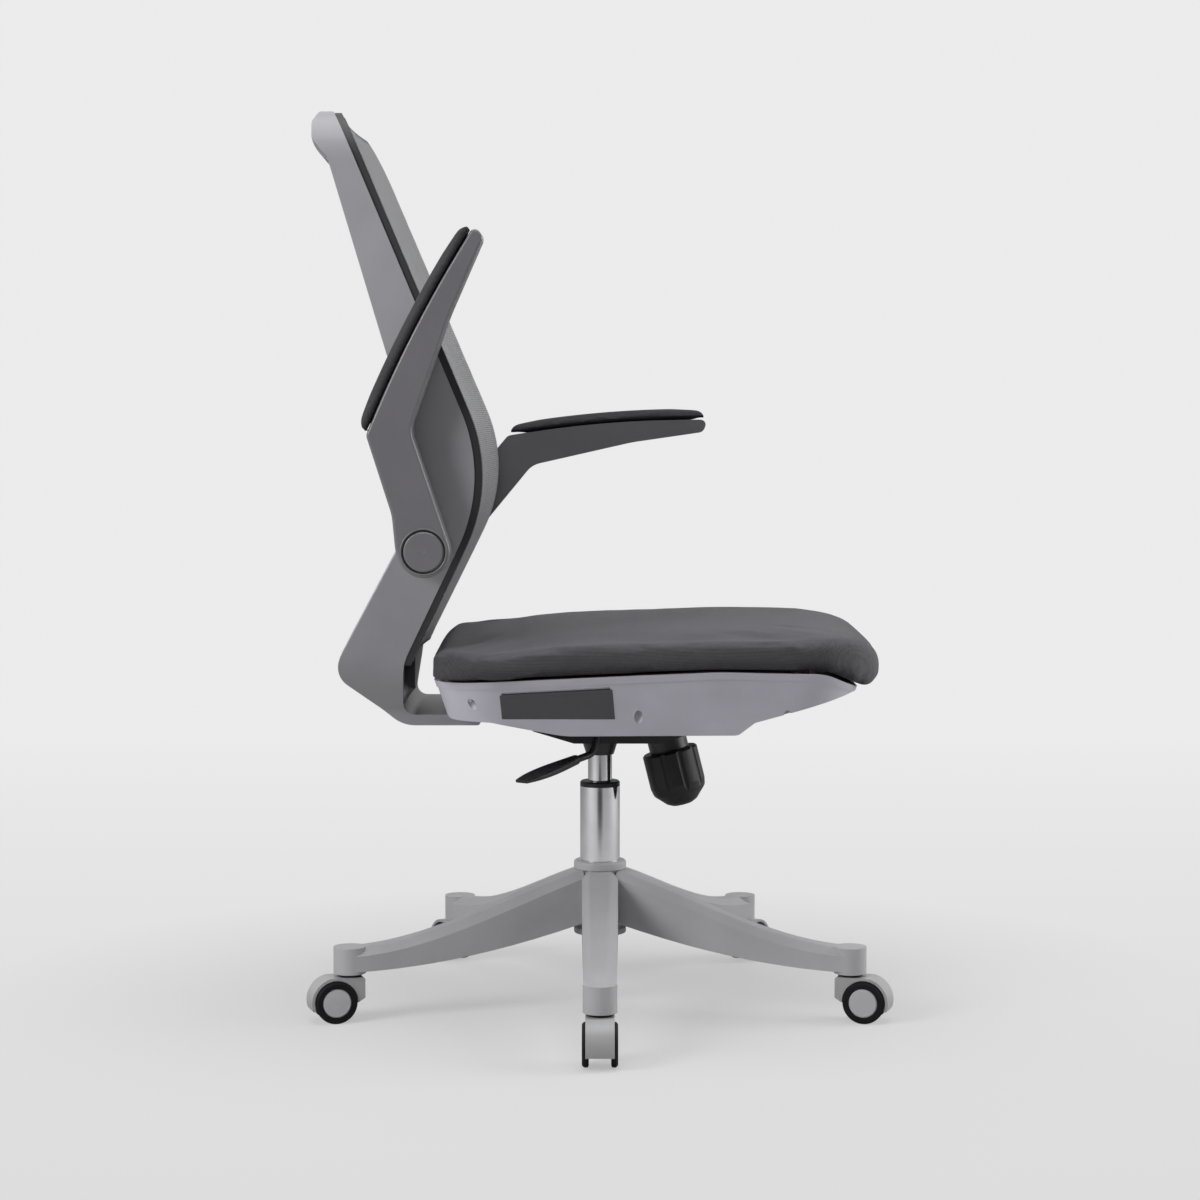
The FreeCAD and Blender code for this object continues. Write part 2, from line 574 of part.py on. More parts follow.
def make_tilt_bracket():
    plate = size("bracket_plate")
    rear, front = size("bracket_rear"), size("bracket_front")
    half = size("bracket_width") / 2
    inner = size("housing_width") / 2 + size("bracket_gap")
    pivot_x, pivot_z, ear = size("pivot_x"), size("pivot_z"), size("axle_ear")
    top = prism("bracket_top", [rounded_loop([
        (rear, plate_top(rear)), (rear, plate_top(rear) - plate), (front, plate_top(front) - plate),
        (front, plate_top(front))])], side_plane(), half, half)
    outline = rounded_loop([
        (pivot_x - 3 * ear, plate_top(pivot_x - 3 * ear) - 1), (pivot_x - ear, pivot_z - ear, ear - 0.5),
        (pivot_x + ear, pivot_z - ear, ear - 0.5), (pivot_x + 3 * ear, plate_top(pivot_x + 3 * ear) - 1)])
    ears = []
    for side, start in (("left", inner + plate), ("right", -inner)):
        ears.append(prism("bracket_ear_" + side, [outline], side_plane(start), plate))
    block = fuse("bracket_block", [top] + ears)
    axle_hole = cylinder("bracket_axle_hole", "tilt_axle_radius + running_clearance", "bracket_width",
                         Placement(Vector(pivot_x, -half, pivot_z), along_y))
    bolt_holes = []
    for i, (x, y) in enumerate(bracket_bolt_points()):
        bolt_holes.append(cylinder("bracket_bolt_hole_%d" % i, "bolt_radius + bolt_clearance", "40",
                                   Placement(Vector(x, y, plate_top(x) - 20), Rotation())))
    node("tilt_bracket", cut("tilt_bracket", block, fuse("bracket_holes", [axle_hole] + bolt_holes)))


def bracket_bolt_points():
    y = size("bracket_bolt_y")
    return [(x, side * y) for x in (size("bracket_bolt_x"), size("bracket_bolt_rear")) for side in (-1, 1)]


def biarc(start, start_tangent, end, end_tangent):
    # two tangent arcs from start to end that keep both end directions
    span = end - start
    total = start_tangent + end_tangent
    spread = 2 * (1 - start_tangent.dot(end_tangent))
    along = span.dot(total)
    handle = (-along + math.sqrt(along ** 2 + spread * span.dot(span))) / spread
    joint = (start + start_tangent * handle + end - end_tangent * handle) * 0.5
    arcs = []
    for point, tangent, far in ((start, start_tangent, joint), (end, end_tangent * -1, joint)):
        chord = far - point
        off = tangent - chord * (tangent.dot(chord) / chord.dot(chord))
        angle = tangent.getAngle(chord)
        middle = point + chord * 0.5 + off.normalize() * (chord.Length / 2 * math.tan(angle / 2))
        arcs.append((point, middle, far))
    first, second = arcs
    return [Part.Arc(*first), Part.Arc(second[2], second[1], second[0])]


def make_tension_spring():
    # torsion spring on the tilt axle: one leg down to the screw's tip, the other up under the seat plate
    wire = size("spring_wire") / 2
    radius, pitch = size("spring_radius"), size("spring_pitch")
    centre_x, centre_z, start_y = size("pivot_x"), size("pivot_z"), size("spring_start")
    end_angle = 2 * math.pi * size("spring_turns") + math.pi / 2 - math.radians(size("spring_leg_slope"))
    rise = pitch / (2 * math.pi)

    def point(angle):
        return Vector(centre_x + radius * math.cos(angle), start_y + rise * angle,
                      centre_z + radius * math.sin(angle))

    def tangent(angle):
        return Vector(-radius * math.sin(angle), rise, radius * math.cos(angle)).normalize()

    screw_tip = knob_axis_placement(-size("screw_reach")).Base
    foot_length = centre_z - screw_tip.z - wire - 2.2
    foot = point(0) - tangent(0) * foot_length
    edges = [Part.LineSegment(foot, point(0))]
    quarter = math.pi / 2
    angle = 0.0
    while angle < end_angle - 1e-6:
        following = min(angle + quarter, end_angle)
        edges += biarc(point(angle), tangent(angle), point(following), tangent(following))
        angle = following
    shoulder, heading = point(end_angle), tangent(end_angle)
    plate_under = plate_top(0) - size("bracket_plate") - wire * 1.05 - 0.3
    head_length = (plate_under + size("seat_slope") * shoulder.x - shoulder.z) / (
        heading.z - size("seat_slope") * heading.x)
    edges.append(Part.LineSegment(shoulder, shoulder + heading * head_length))
    path = Part.Wire([edge.toShape() for edge in edges])
    section = Part.Wire([Part.Circle(foot, tangent(0), wire).toShape()])
    pipe = Part.BRepOffsetAPI.MakePipeShell(path)
    pipe.add(section)
    pipe.build()
    pipe.makeSolid()
    print("tension spring: gap between turns %.2f mm" % (pitch - 2 * wire))
    feature = doc.addObject("Part::Feature", "tension_spring")
    feature.Shape = pipe.shape()
    node("tension_spring", feature)


def make_tension_knob():
    radius, height, foot = size("knob_radius"), size("knob_height"), size("knob_foot_radius")
    grip = size("knob_grip_height")
    head = turned("knob_head", [
        (0, 0), (radius - 2, 0), (radius, 2), (radius, grip), (radius - 2, grip + 9, 6),
        (foot + 6, height - 3, 8), (foot, height), (0, height)], knob_axis_placement(0))
    screw = cylinder("knob_screw", "screw_radius", "screw_reach + 10",
                     knob_axis_placement(-size("screw_reach")))
    block = fuse("knob_block", [head, screw])
    scallops = []
    count = int(size("knob_scallops"))
    centre = radius + size("scallop_radius") - size("scallop_depth")
    for i in range(count):
        angle = 2 * math.pi * i / count
        place = knob_axis_placement(-1).multiply(
            Placement(Vector(centre * math.cos(angle), centre * math.sin(angle), 0), Rotation()))
        scallops.append(cylinder("scallop_%d" % i, "scallop_radius", "knob_height + 2", place))
    node("tension_knob", cut("tension_knob", block, fuse("knob_scallops_cut", scallops)))


def make_height_lever():
    radius, rod_z = size("lever_rod_radius"), size("lever_z")
    elbow = -size("lever_elbow_y")
    tip = Vector(size("lever_tip_x"), -size("lever_tip_y"), size("lever_tip_z"))
    corners = [Vector(0, 10, rod_z), Vector(0, elbow, rod_z),
               Vector(-8, elbow - 14, size("lever_drop_z")), Vector(-34, elbow - 44, size("lever_drop_z") - 6)]
    bend = size("lever_bend")
    edges = []
    at = corners[0]
    for last, here, following in zip(corners, corners[1:], corners[2:]):
        back, ahead = (last - here).normalize(), (following - here).normalize()
        half = back.getAngle(ahead) / 2
        setback = bend / math.tan(half)
        middle = here + (back + ahead).normalize() * (bend / math.sin(half) - bend)
        edges.append(Part.LineSegment(at, here + back * setback))
        edges.append(Part.Arc(here + back * setback, middle, here + ahead * setback))
        at = here + ahead * setback
    edges.append(Part.LineSegment(at, corners[-1]))
    path = doc.addObject("Part::Feature", "lever_path")
    path.Shape = Part.Wire([edge.toShape() for edge in edges])
    circle = doc.addObject("Part::Circle", "lever_section")
    bind(circle, "Radius", "lever_rod_radius")
    circle.Placement = Placement(corners[0], Rotation(Vector(0, 0, 1), Vector(0, -1, 0)))
    rod = doc.addObject("Part::Sweep", "lever_rod")
    rod.Sections = [circle]
    rod.Spine = (path, ["Edge%d" % (i + 1) for i in range(len(edges))])
    rod.Solid = True
    rod.Frenet = False

    run = (tip - corners[-1]).normalize()
    across = run.cross(Vector(0, 0, 1)).normalize()
    facing = Rotation(across, across.cross(run) * -1, run, "ZXY")
    width, thick = size("paddle_width"), size("paddle_thickness")
    root = corners[-1] - run * 12
    length = (tip - root).Length
    sections = []
    for i, (share, wide, deep) in enumerate(((0.0, 0.45, 1.35), (0.35, 0.9, 1.1), (0.8, 1.0, 0.75),
                                             (1.0, 0.7, 0.45))):
        w, d = width * wide / 2, thick * deep / 2
        loop = rounded_loop([(-w, -d, d * 0.8), (w, -d, d * 0.8), (w, d, d * 0.8), (-w, d, d * 0.8)])
        sections.append(free_sketch("paddle_section_%d" % i, [loop],
                                    Placement(root + run * (share * length), facing)))
    node("height_lever", fuse("height_lever", [rod, loft("lever_paddle", sections)]))


# Seat

def seat_edge_corners(shift=0.0):
    # the line in side view where cushion, board and pan meet
    knee, nose = size("seat_knee"), size("seat_nose")
    return [(size("seat_rear") - 40, seat_line(size("seat_rear") - 40) + shift),
            (knee, seat_line(knee) + shift, 300),
            (nose, seat_line(knee) - size("seat_nose_drop") + shift, 60),
            (size("seat_lip") + 40, size("seat_lip_z") - 22 + shift)]


def below_seat_line(name, shift, half_width, floor=250.0):
    corners = seat_edge_corners(shift)
    loop = rounded_loop(corners + [(corners[-1][0], floor), (corners[0][0], floor)])
    return prism(name, [loop], side_plane(), half_width, half_width)


def make_seat_cushion():
    half = size("cushion_width") / 2
    rear, front = size("cushion_rear"), size("cushion_front")
    thick, crown = size("cushion_thickness"), size("cushion_crown")
    knee = size("seat_knee")
    crest = seat_line(knee) + thick
    nose_z = size("cushion_nose_z")
    stations = [
        (rear, seat_line(rear) + thick * 0.62, half * 0.84, 0.3, 0.0),
        (rear + 14, seat_line(rear) + thick * 0.9, half * 0.93, 0.7, 0.0),
        (rear + 90, seat_line(rear + 90) + thick * 0.97, half, 1.0, 0.0),
        (knee - 60, crest - 2, half, 1.0, 0.0),
        (knee + 60, crest + 1, half, 1.0, 0.0),
        (front - 58, crest - 4, half * 0.95, 0.8, 0.0),
        (front - 32, crest - 11, half * 0.87, 0.6, 0.0),
        (front - 12, crest - 22, half * 0.77, 0.4, 4.0),
        (front, crest - 37, half * 0.66, 0.2, 10.0)]
    low = nose_z - 14
    sections = []
    for i, (x, side_top, width, share, lift) in enumerate(stations):
        bulge = 6.0
        middle = (side_top + low) / 2
        right = [Vector(width - bulge, low + lift, 0), Vector(width, middle, 0),
                 Vector(width - bulge, side_top - 8, 0), Vector(width - bulge - 12, side_top, 0)]
        left = [Vector(-p.x, p.y, 0) for p in right]
        top = Vector(0, side_top + crown * share, 0)
        shoulder = Vector(width - bulge - 2.5, side_top - 2, 0)
        loop = [Part.Arc(right[0], right[1], right[2]),
                Part.Arc(right[2], shoulder, right[3]),
                Part.Arc(right[3], top, left[3]),
                Part.Arc(left[3], Vector(-shoulder.x, shoulder.y, 0), left[2]),
                Part.Arc(left[2], left[1], left[0]),
                Part.LineSegment(left[0], right[0])]
        sections.append(free_sketch("cushion_section_%d" % i, [loop], front_plane(x)))
    block = loft("cushion_block", sections)
    nose = prism("cushion_nose", [rounded_loop([
        (rear - 10, 600), (rear - 10, 300), (front - 34, 300), (front - 34, nose_z - 1), (front + 0.5, nose_z, 18),
        (front + 0.5, 600)])], side_plane(), half + 20, half + 20)
    under = below_seat_line("cushion_under", 0.0, half + 20)
    node("seat_cushion", cut("seat_cushion", common("cushion_rounded", block, nose), under))


def make_seat_board():
    gap, thick = size("soft_gap"), size("board_thickness")
    rear, front, half = size("board_rear"), size("board_front"), size("board_width") / 2
    corner = size("board_corner")
    outline = prism("board_outline", [rounded_loop([
        (rear, -half, corner), (front, -half, corner), (front, half, corner), (rear, half, corner)])],
        plan_plane(250), 250)
    upper = below_seat_line("board_upper", -gap, half + 20)
    lower = below_seat_line("board_lower", -gap - thick, half + 20)
    slab = cut("board_slab", common("board_blank", outline, upper), lower)
    holes = [cylinder("board_bolt_hole_%d" % i, "bolt_radius + 0.02", "40",
                      Placement(Vector(x, y, plate_top(x) - 5), Rotation()))
             for i, (x, y) in enumerate(bracket_bolt_points() + back_bolt_points())]
    holes += [cylinder("board_screw_hole_%d" % i, "pan_screw_radius + 0.02", "40",
                       Placement(Vector(x, y, seat_line(x) - 40), Rotation()))
              for i, (x, y) in enumerate(pan_screw_points())]
    node("seat_board", cut("seat_board", slab, fuse("board_holes", holes)))


def pan_screw_points():
    y = size("pan_screw_y")
    return [(x, side * y) for x in (size("pan_screw_rear"), size("pan_screw_mid"), size("pan_screw_front"))
            for side in (-1, 1)]


def back_bolt_points():
    return [(size("back_bolt_x"), side * size("back_bolt_y")) for side in (-1, 1)]


def pan_block(name, inset, floor_inset):
    # tapered tub: wide at the seat line, drawn in below, with the floor's side profile
    top_half = size("pan_width") / 2 - inset
    low_half = size("pan_bottom_width") / 2 - inset
    rear, front = size("seat_rear") + inset, size("seat_lip") - inset
    corner = size("pan_corner") - inset
    high, low = size("seat_line_z") + 12, size("pan_floor") - 4
    draw = top_half - low_half
    upper = free_sketch(name + "_rim", [rounded_loop([
        (rear, -top_half, corner), (front, -top_half, corner), (front, top_half, corner),
        (rear, top_half, corner)])], plan_plane(high))
    lower = free_sketch(name + "_foot", [rounded_loop([
        (rear + draw * 0.5, -low_half, corner), (front - draw * 0.4, -low_half, corner),
        (front - draw * 0.4, low_half, corner), (rear + draw * 0.5, low_half, corner)])], plan_plane(low))
    tub = loft(name + "_tub", [upper, lower], True)
    floor, tail = size("pan_floor") + floor_inset, size("pan_tail_x")
    rear_floor, step = size("pan_rear_floor") + floor_inset, size("pan_step_x")
    profile = rounded_loop([
        (rear - 10, 460), (rear - 10, rear_floor + 25), (rear + 22, rear_floor, 10), (tail, rear_floor, 30),
        (tail + 80, floor + 1, 120), (step - 8, floor + 2, 10), (step + 10, size("pan_step_top") + floor_inset, 10),
        (front - 2, size("seat_lip_z") - 2 + floor_inset), (front + 30, 460)])
    side = prism(name + "_profile", [profile], side_plane(), top_half + 10, top_half + 10)
    return common(name, tub, side)


def make_seat_pan():
    gap = size("soft_gap")
    half = size("pan_width") / 2 + 20
    wall, step = size("pan_wall"), size("pan_rim_step")
    band = cut("pan_rim_band", below_seat_line("pan_rim_line", -gap, half),
               below_seat_line("pan_rim_foot", -gap - size("pan_rim_height"), half + 1, 240.0))
    rim = common("pan_rim", pan_block("pan_skin", 0.0, 0.0), band)
    flank = common("pan_flank", pan_block("pan_flank_skin", step, 0.0),
                   below_seat_line("pan_flank_line", -gap, half))
    outer = fuse("pan_outer", [rim, flank])
    shell = cut("pan_shell", outer, pan_block("pan_space", wall + step, wall))
    bosses = []
    holes = []
    for i, (x, y) in enumerate(pan_screw_points()):
        boss = doc.addObject("Part::Cylinder", "pan_boss_%d" % i)
        bind(boss, "Radius", "pan_boss_radius")
        boss.Height = 90
        boss.Placement = Placement(Vector(x, y, plate_top(x) - 90), Rotation())
        bosses.append(boss)
        head_z = pan_screw_head_z(x)
        holes.append(cylinder("pan_screw_hole_%d" % i, "pan_screw_radius + 0.15", "60",
                              Placement(Vector(x, y, head_z - 1), Rotation())))
        well = doc.addObject("Part::Cylinder", "pan_screw_well_%d" % i)
        bind(well, "Radius", "pan_screw_head + 0.3")
        well.Height = 60
        well.Placement = Placement(Vector(x, y, head_z - 60), Rotation())
        holes.append(well)
    for i, (x, y) in enumerate(back_bolt_points()):
        boss = doc.addObject("Part::Cylinder", "tongue_boss_%d" % i)
        bind(boss, "Radius", "pan_boss_radius + 2")
        boss.Height = plate_top(x) - size("pan_rear_floor") - 1
        boss.Placement = Placement(Vector(x, y, size("pan_rear_floor") + 1), Rotation())
        bosses.append(boss)
        holes.append(cylinder("tongue_bolt_hole_%d" % i, "bolt_radius + bolt_clearance", "80",
                              Placement(Vector(x, y, size("pan_rear_floor") - 10), Rotation())))
    under_board = below_seat_line("boss_line", -gap - size("board_thickness"), half)
    trimmed = common("pan_bosses", common("pan_boss_skin", fuse("pan_boss_posts", bosses), under_board),
                     pan_block("pan_boss_limit", step, 0.0))
    block = fuse("pan_block", [shell, trimmed])
    window_half = size("pan_window_width") / 2
    window = prism("pan_window", [rounded_loop([
        (size("pan_window_rear"), -window_half, 20), (size("pan_window_front"), -window_half, 20),
        (size("pan_window_front"), window_half, 20), (size("pan_window_rear"), window_half, 20)])],
        plan_plane(300), 75)
    node("seat_pan", cut("seat_pan", block, fuse("pan_cuts", holes + [window] + insert_recesses())))


def pan_screw_head_z(x):
    return plate_top(x) - 8.0


def insert_outline(gap=0.0):
    rear, front = size("insert_rear") + gap, size("insert_front") - gap
    low, high = size("insert_bottom") + gap, size("insert_top") - gap
    return rounded_loop([(rear + 4, low, 2), (front + 3, low, 2), (front, high, 2), (rear, high - 4, 2)])


def insert_plane(side, depth):
    # lies on the pan's slanted flank: u is X, v runs up the slope, the normal points outwards
    top_half, low_half = size("pan_width") / 2, size("pan_bottom_width") / 2
    high, low = size("seat_line_z") + 12, size("pan_floor") - 4
    slope = Vector(0, side * (top_half - low_half), high - low).normalize()
    outward = Vector(0, side * slope.z, -side * slope.y * side)
    level = (size("insert_bottom") + size("insert_top")) / 2
    share = (level - low) / (high - low)
    centre = Vector(0, side * (low_half + share * (top_half - low_half)), level)
    return centre - outward * depth, outward


def insert_block(name, side, gap, depth, thickness):
    # a slab of the insert's outline, cut square to the flank
    centre, outward = insert_plane(side, depth)
    level = (size("insert_bottom") + size("insert_top")) / 2
    up = Vector(1, 0, 0).cross(outward) if side < 0 else outward.cross(Vector(1, 0, 0))
    if up.z < 0:
        up = up * -1
    turn = Rotation(Vector(1, 0, 0), up, Vector(1, 0, 0).cross(up), "XYZ")
    normal = Vector(1, 0, 0).cross(up)
    sign = 1 if normal.dot(outward) > 0 else -1
    shape_loop = insert_outline(gap)
    sketch_place = Placement(centre - up * level, turn)
    forward, backward = (thickness, 0.0) if sign > 0 else (0.0, thickness)
    return prism(name, [shape_loop], sketch_place, forward, backward)


def insert_recesses():
    depth = size("insert_depth") + size("pan_rim_step")
    return [insert_block("insert_recess_" + word, side, 0.0, depth, 30)
            for side, word in ((-1, "right"), (1, "left"))]


def make_pan_inserts():
    depth = size("insert_depth") + size("pan_rim_step")
    plates = [insert_block("insert_plate_" + word, side, 0.3, depth, size("insert_depth") - 0.8)
              for side, word in ((-1, "right"), (1, "left"))]
    group = doc.addObject("Part::Compound", "pan_inserts")
    group.Links = plates
    node("pan_inserts", group)


def screw_shape(x, y, head_bottom, head, radius, head_radius, tip):
    # headed screw pointing up; the head's underside faces the floor
    head_part = Part.makeCylinder(head_radius, head, Vector(x, y, head_bottom))
    shank = Part.makeCylinder(radius, tip - head_bottom - head + 1, Vector(x, y, head_bottom + head - 1))
    return head_part.fuse(shank).removeSplitter()


def make_fasteners():
    head, radius, head_radius = size("bolt_head"), size("bolt_radius"), size("bolt_head_radius")
    plate = size("bracket_plate")
    slope_drop = size("seat_slope") * head_radius
    groups = {
        "bracket_bolts": [screw_shape(x, y, plate_top(x) - plate - head - slope_drop, head, radius,
                                      head_radius, plate_top(x) + size("board_thickness") - 2)
                          for x, y in bracket_bolt_points()],
        "back_bolts": [screw_shape(x, y, size("tongue_bottom") - head, head, radius, head_radius,
                                   plate_top(x) + size("board_thickness") - 2)
                       for x, y in back_bolt_points()],
        "pan_screws": [screw_shape(x, y, pan_screw_head_z(x) - 2.4, 2.4, size("pan_screw_radius"),
                                   size("pan_screw_head"), plate_top(x) + size("board_thickness") - 3)
                       for x, y in pan_screw_points()]}
    for name, shapes in groups.items():
        feature = doc.addObject("Part::Feature", name)
        feature.Shape = Part.makeCompound(shapes)
        node(name, feature)


# Back

def back_front_corners(shift):
    # front line of the back in side view, from the top down, moved forward by shift
    return [(size("back_front_x") + shift, size("back_top")),
            (size("lumbar_x") + shift, size("lumbar_z"), size("lumbar_bend")),
            (size("seat_gap_x") + shift, size("seat_gap_z"), 60)]


def bent_slab(name, corners, half_width):
    # a side-view band carried across the back, drawn rearwards in the middle by the wrap
    sections = []
    for i, (y, drop) in enumerate(((-half_width, 0.0), (0.0, size("wrap")), (half_width, 0.0))):
        moved = [(corner[0] - drop,) + tuple(corner[1:]) for corner in corners]
        sections.append(free_sketch("%s_band_%d" % (name, i), [rounded_loop(moved)], side_plane(y)))
    return loft(name, sections)


def back_outline(inset):
    top, half_top = size("back_top") - inset, size("back_top_width") / 2 - inset
    half = size("back_width") / 2 - inset
    pivot_z = size("arm_pivot_z")
    return [(half_top, top, size("back_corner")), (half, size("lumbar_z") + 70, 500), (half, pivot_z - 5, 110)]


def opening_outline(inset=0.0):
    half_top, half = size("opening_top_width") / 2 - inset, size("opening_width") / 2 - inset
    half_low = size("opening_bottom_width") / 2 - inset
    return rounded_loop(both_sides([
        (half_top, size("opening_top") - inset, 45), (half, size("lumbar_z") + 50, 300),
        (half, size("arm_pivot_z") + 5, 90), (half_low, size("opening_bottom") + inset, 50)]))


def make_back_frame():
    half = size("back_width") / 2 + 6
    corners = back_front_corners(0.0) + [
        (size("seat_gap_x") - 1, size("tongue_top"), 14), (size("tongue_front"), size("tongue_top")),
        (size("tongue_front"), size("tongue_bottom"), 4), (size("tail_x") + 77, size("tongue_bottom"), 40),
        (size("tail_x"), size("tail_z"), 28),
        (size("rear_lumbar_x"), size("rear_lumbar_z"), size("rear_lumbar_bend")),
        (size("lip_root_x"), size("lip_root_z"), 6), (size("lip_x"), size("lip_z"), 8),
        (size("lip_x"), size("back_top") - 14, 10), (size("back_front_x") - 14, size("back_top"), 6)]
    slab = bent_slab("frame_slab", corners, half)
    tongue = size("tongue_width") / 2
    outline = rounded_loop(both_sides(back_outline(0.0) + [
        (size("back_width") / 2 - 60, size("tail_z"), 90), (tongue, size("tongue_top") + 4, 16),
        (tongue, size("tongue_bottom") - 10)]))
    face = prism("frame_face", [outline], front_plane(-420), 420)
    opening = prism("frame_opening", [opening_outline()], front_plane(-420), 420)
    blank = common("frame_blank", slab, face)
    cavity_half = size("tongue_width") / 2 - 17
    tail_x, tail_z, wall = size("tail_x"), size("tail_z"), size("tail_wall")
    cavity = prism("frame_cavity", [rounded_loop([
        (size("seat_gap_x") + 30, size("tongue_top") + wall), (size("seat_gap_x") + 30, tail_z + 27),
        (tail_x + 2.5 * wall + 10, tail_z + 27, 8), (tail_x + 1.8 * wall, tail_z + 1, 12),
        (tail_x + 62, size("tongue_top") + wall, 8)])], side_plane(), cavity_half, cavity_half)
    boss_start = size("back_width") / 2 - 14
    boss_length = size("arm_inner_y") - size("arm_gap") - boss_start
    bosses = []
    holes = []
    for side, word in ((-1, "right"), (1, "left")):
        boss = doc.addObject("Part::Cylinder", "frame_boss_" + word)
        bind(boss, "Radius", "frame_boss_radius")
        boss.Height = boss_length
        boss.Placement = Placement(Vector(size("arm_pivot_x"), side * boss_start, size("arm_pivot_z")),
                                   Rotation(Vector(1, 0, 0), -90 * side))
        bosses.append(boss)
        hole = doc.addObject("Part::Cylinder", "frame_pin_hole_" + word)
        bind(hole, "Radius", "pivot_pin_radius + 0.02")
        hole.Height = size("pivot_pin_grip") + 20
        hole.Placement = Placement(
            Vector(size("arm_pivot_x"), side * (size("arm_inner_y") - size("pivot_pin_grip")),
                   size("arm_pivot_z")), Rotation(Vector(1, 0, 0), -90 * side))
        holes.append(hole)
    for i, (x, y) in enumerate(back_bolt_points()):
        holes.append(cylinder("frame_bolt_hole_%d" % i, "bolt_radius + bolt_clearance", "40",
                              Placement(Vector(x, y, size("tongue_bottom") - 10), Rotation())))
    ring = cut("frame_ring", blank, fuse("frame_spaces", [opening, cavity]))
    node("back_frame", cut("back_frame", fuse("frame_block", [ring] + bosses), fuse("frame_holes", holes)))


def front_layer(name, back_shift, front_shift, outline, opening=None):
    # a layer that lies on the front of the back frame
    front = back_front_corners(front_shift)
    rear = back_front_corners(back_shift)
    low = size("carrier_bottom") - 20
    lean = (size("seat_gap_z") - low) / (size("seat_gap_z") - size("tongue_top"))
    corners = front + [(front[-1][0] - lean, low), (rear[-1][0] - lean, low)] + list(reversed(rear))
    slab = bent_slab(name + "_slab", corners, size("back_width") / 2 + 6)
    face = prism(name + "_face", [outline], front_plane(-420), 420)
    layer = common(name + "_blank", slab, face)
    if opening is None:
        return layer
    return cut(name, layer, prism(name + "_opening", [opening], front_plane(-420), 420))


def make_mesh_back():
    gap, thick = size("sheet_gap"), size("carrier_thickness")
    inset, edge = size("carrier_inset"), size("mesh_inset")
    low_half = size("back_width") / 2 - 56

    def outline(by):
        return rounded_loop(both_sides(back_outline(by) + [(low_half - by, size("carrier_bottom") + by, 18)]))

    carrier = front_layer("mesh_carrier", gap, gap + thick, outline(inset), opening_outline())
    node("mesh_carrier", carrier)
    front = 2 * gap + thick
    mesh = front_layer("back_mesh", front, front + size("mesh_thickness"), outline(edge))
    node("back_mesh", mesh)


# Arms, drawn level with the pivot at the origin and the pad's top forwards along X

def arm_strut(along, across):
    # point given along and across the sloping strut that rises from the pivot to the elbow
    slope = math.radians(size("arm_strut_angle"))
    return (along * math.cos(slope) - across * math.sin(slope),
            along * math.sin(slope) + across * math.cos(slope))


def arm_crest():
    # corner of the bowed top line, halfway between elbow and tip
    return ((size("arm_elbow") + size("arm_reach")) / 2,
            (size("arm_elbow_height") + size("arm_tip_height")) / 2 + size("arm_bow"))


def seam_height(u):
    # height of the two straight runs that the bowed top line is rounded from
    crest_u, crest_v = arm_crest()
    end_u, end_v = size("arm_elbow"), size("arm_elbow_height")
    if u > crest_u:
        end_u, end_v = size("arm_reach"), size("arm_tip_height")
    return end_v + (u - end_u) / (crest_u - end_u) * (crest_v - end_v)


def arm_outline():
    boss, strut = size("arm_boss_radius"), size("arm_strut_rise")
    tip, deep = size("arm_reach"), size("arm_depth")
    tip_low = size("arm_tip_height") - deep
    mid = size("arm_mid")
    mid_low = tip_low - 1.5
    crotch_x = size("arm_crotch")
    crotch_z = mid_low - (mid - crotch_x) * 0.096
    return rounded_loop([
        arm_strut(-boss, -boss) + (boss - 0.1,), arm_strut(-boss, boss) + (boss - 0.1,),
        arm_strut(0.4 * boss, boss) + (30,), arm_strut(1.7 * boss, strut) + (60,),
        (size("arm_elbow"), size("arm_elbow_height"), 10), arm_crest() + (size("arm_bow_radius"),),
        (tip, size("arm_tip_height"), 6), (tip - 7, tip_low, 9), (mid, mid_low, 200),
        (crotch_x, crotch_z, 30)])


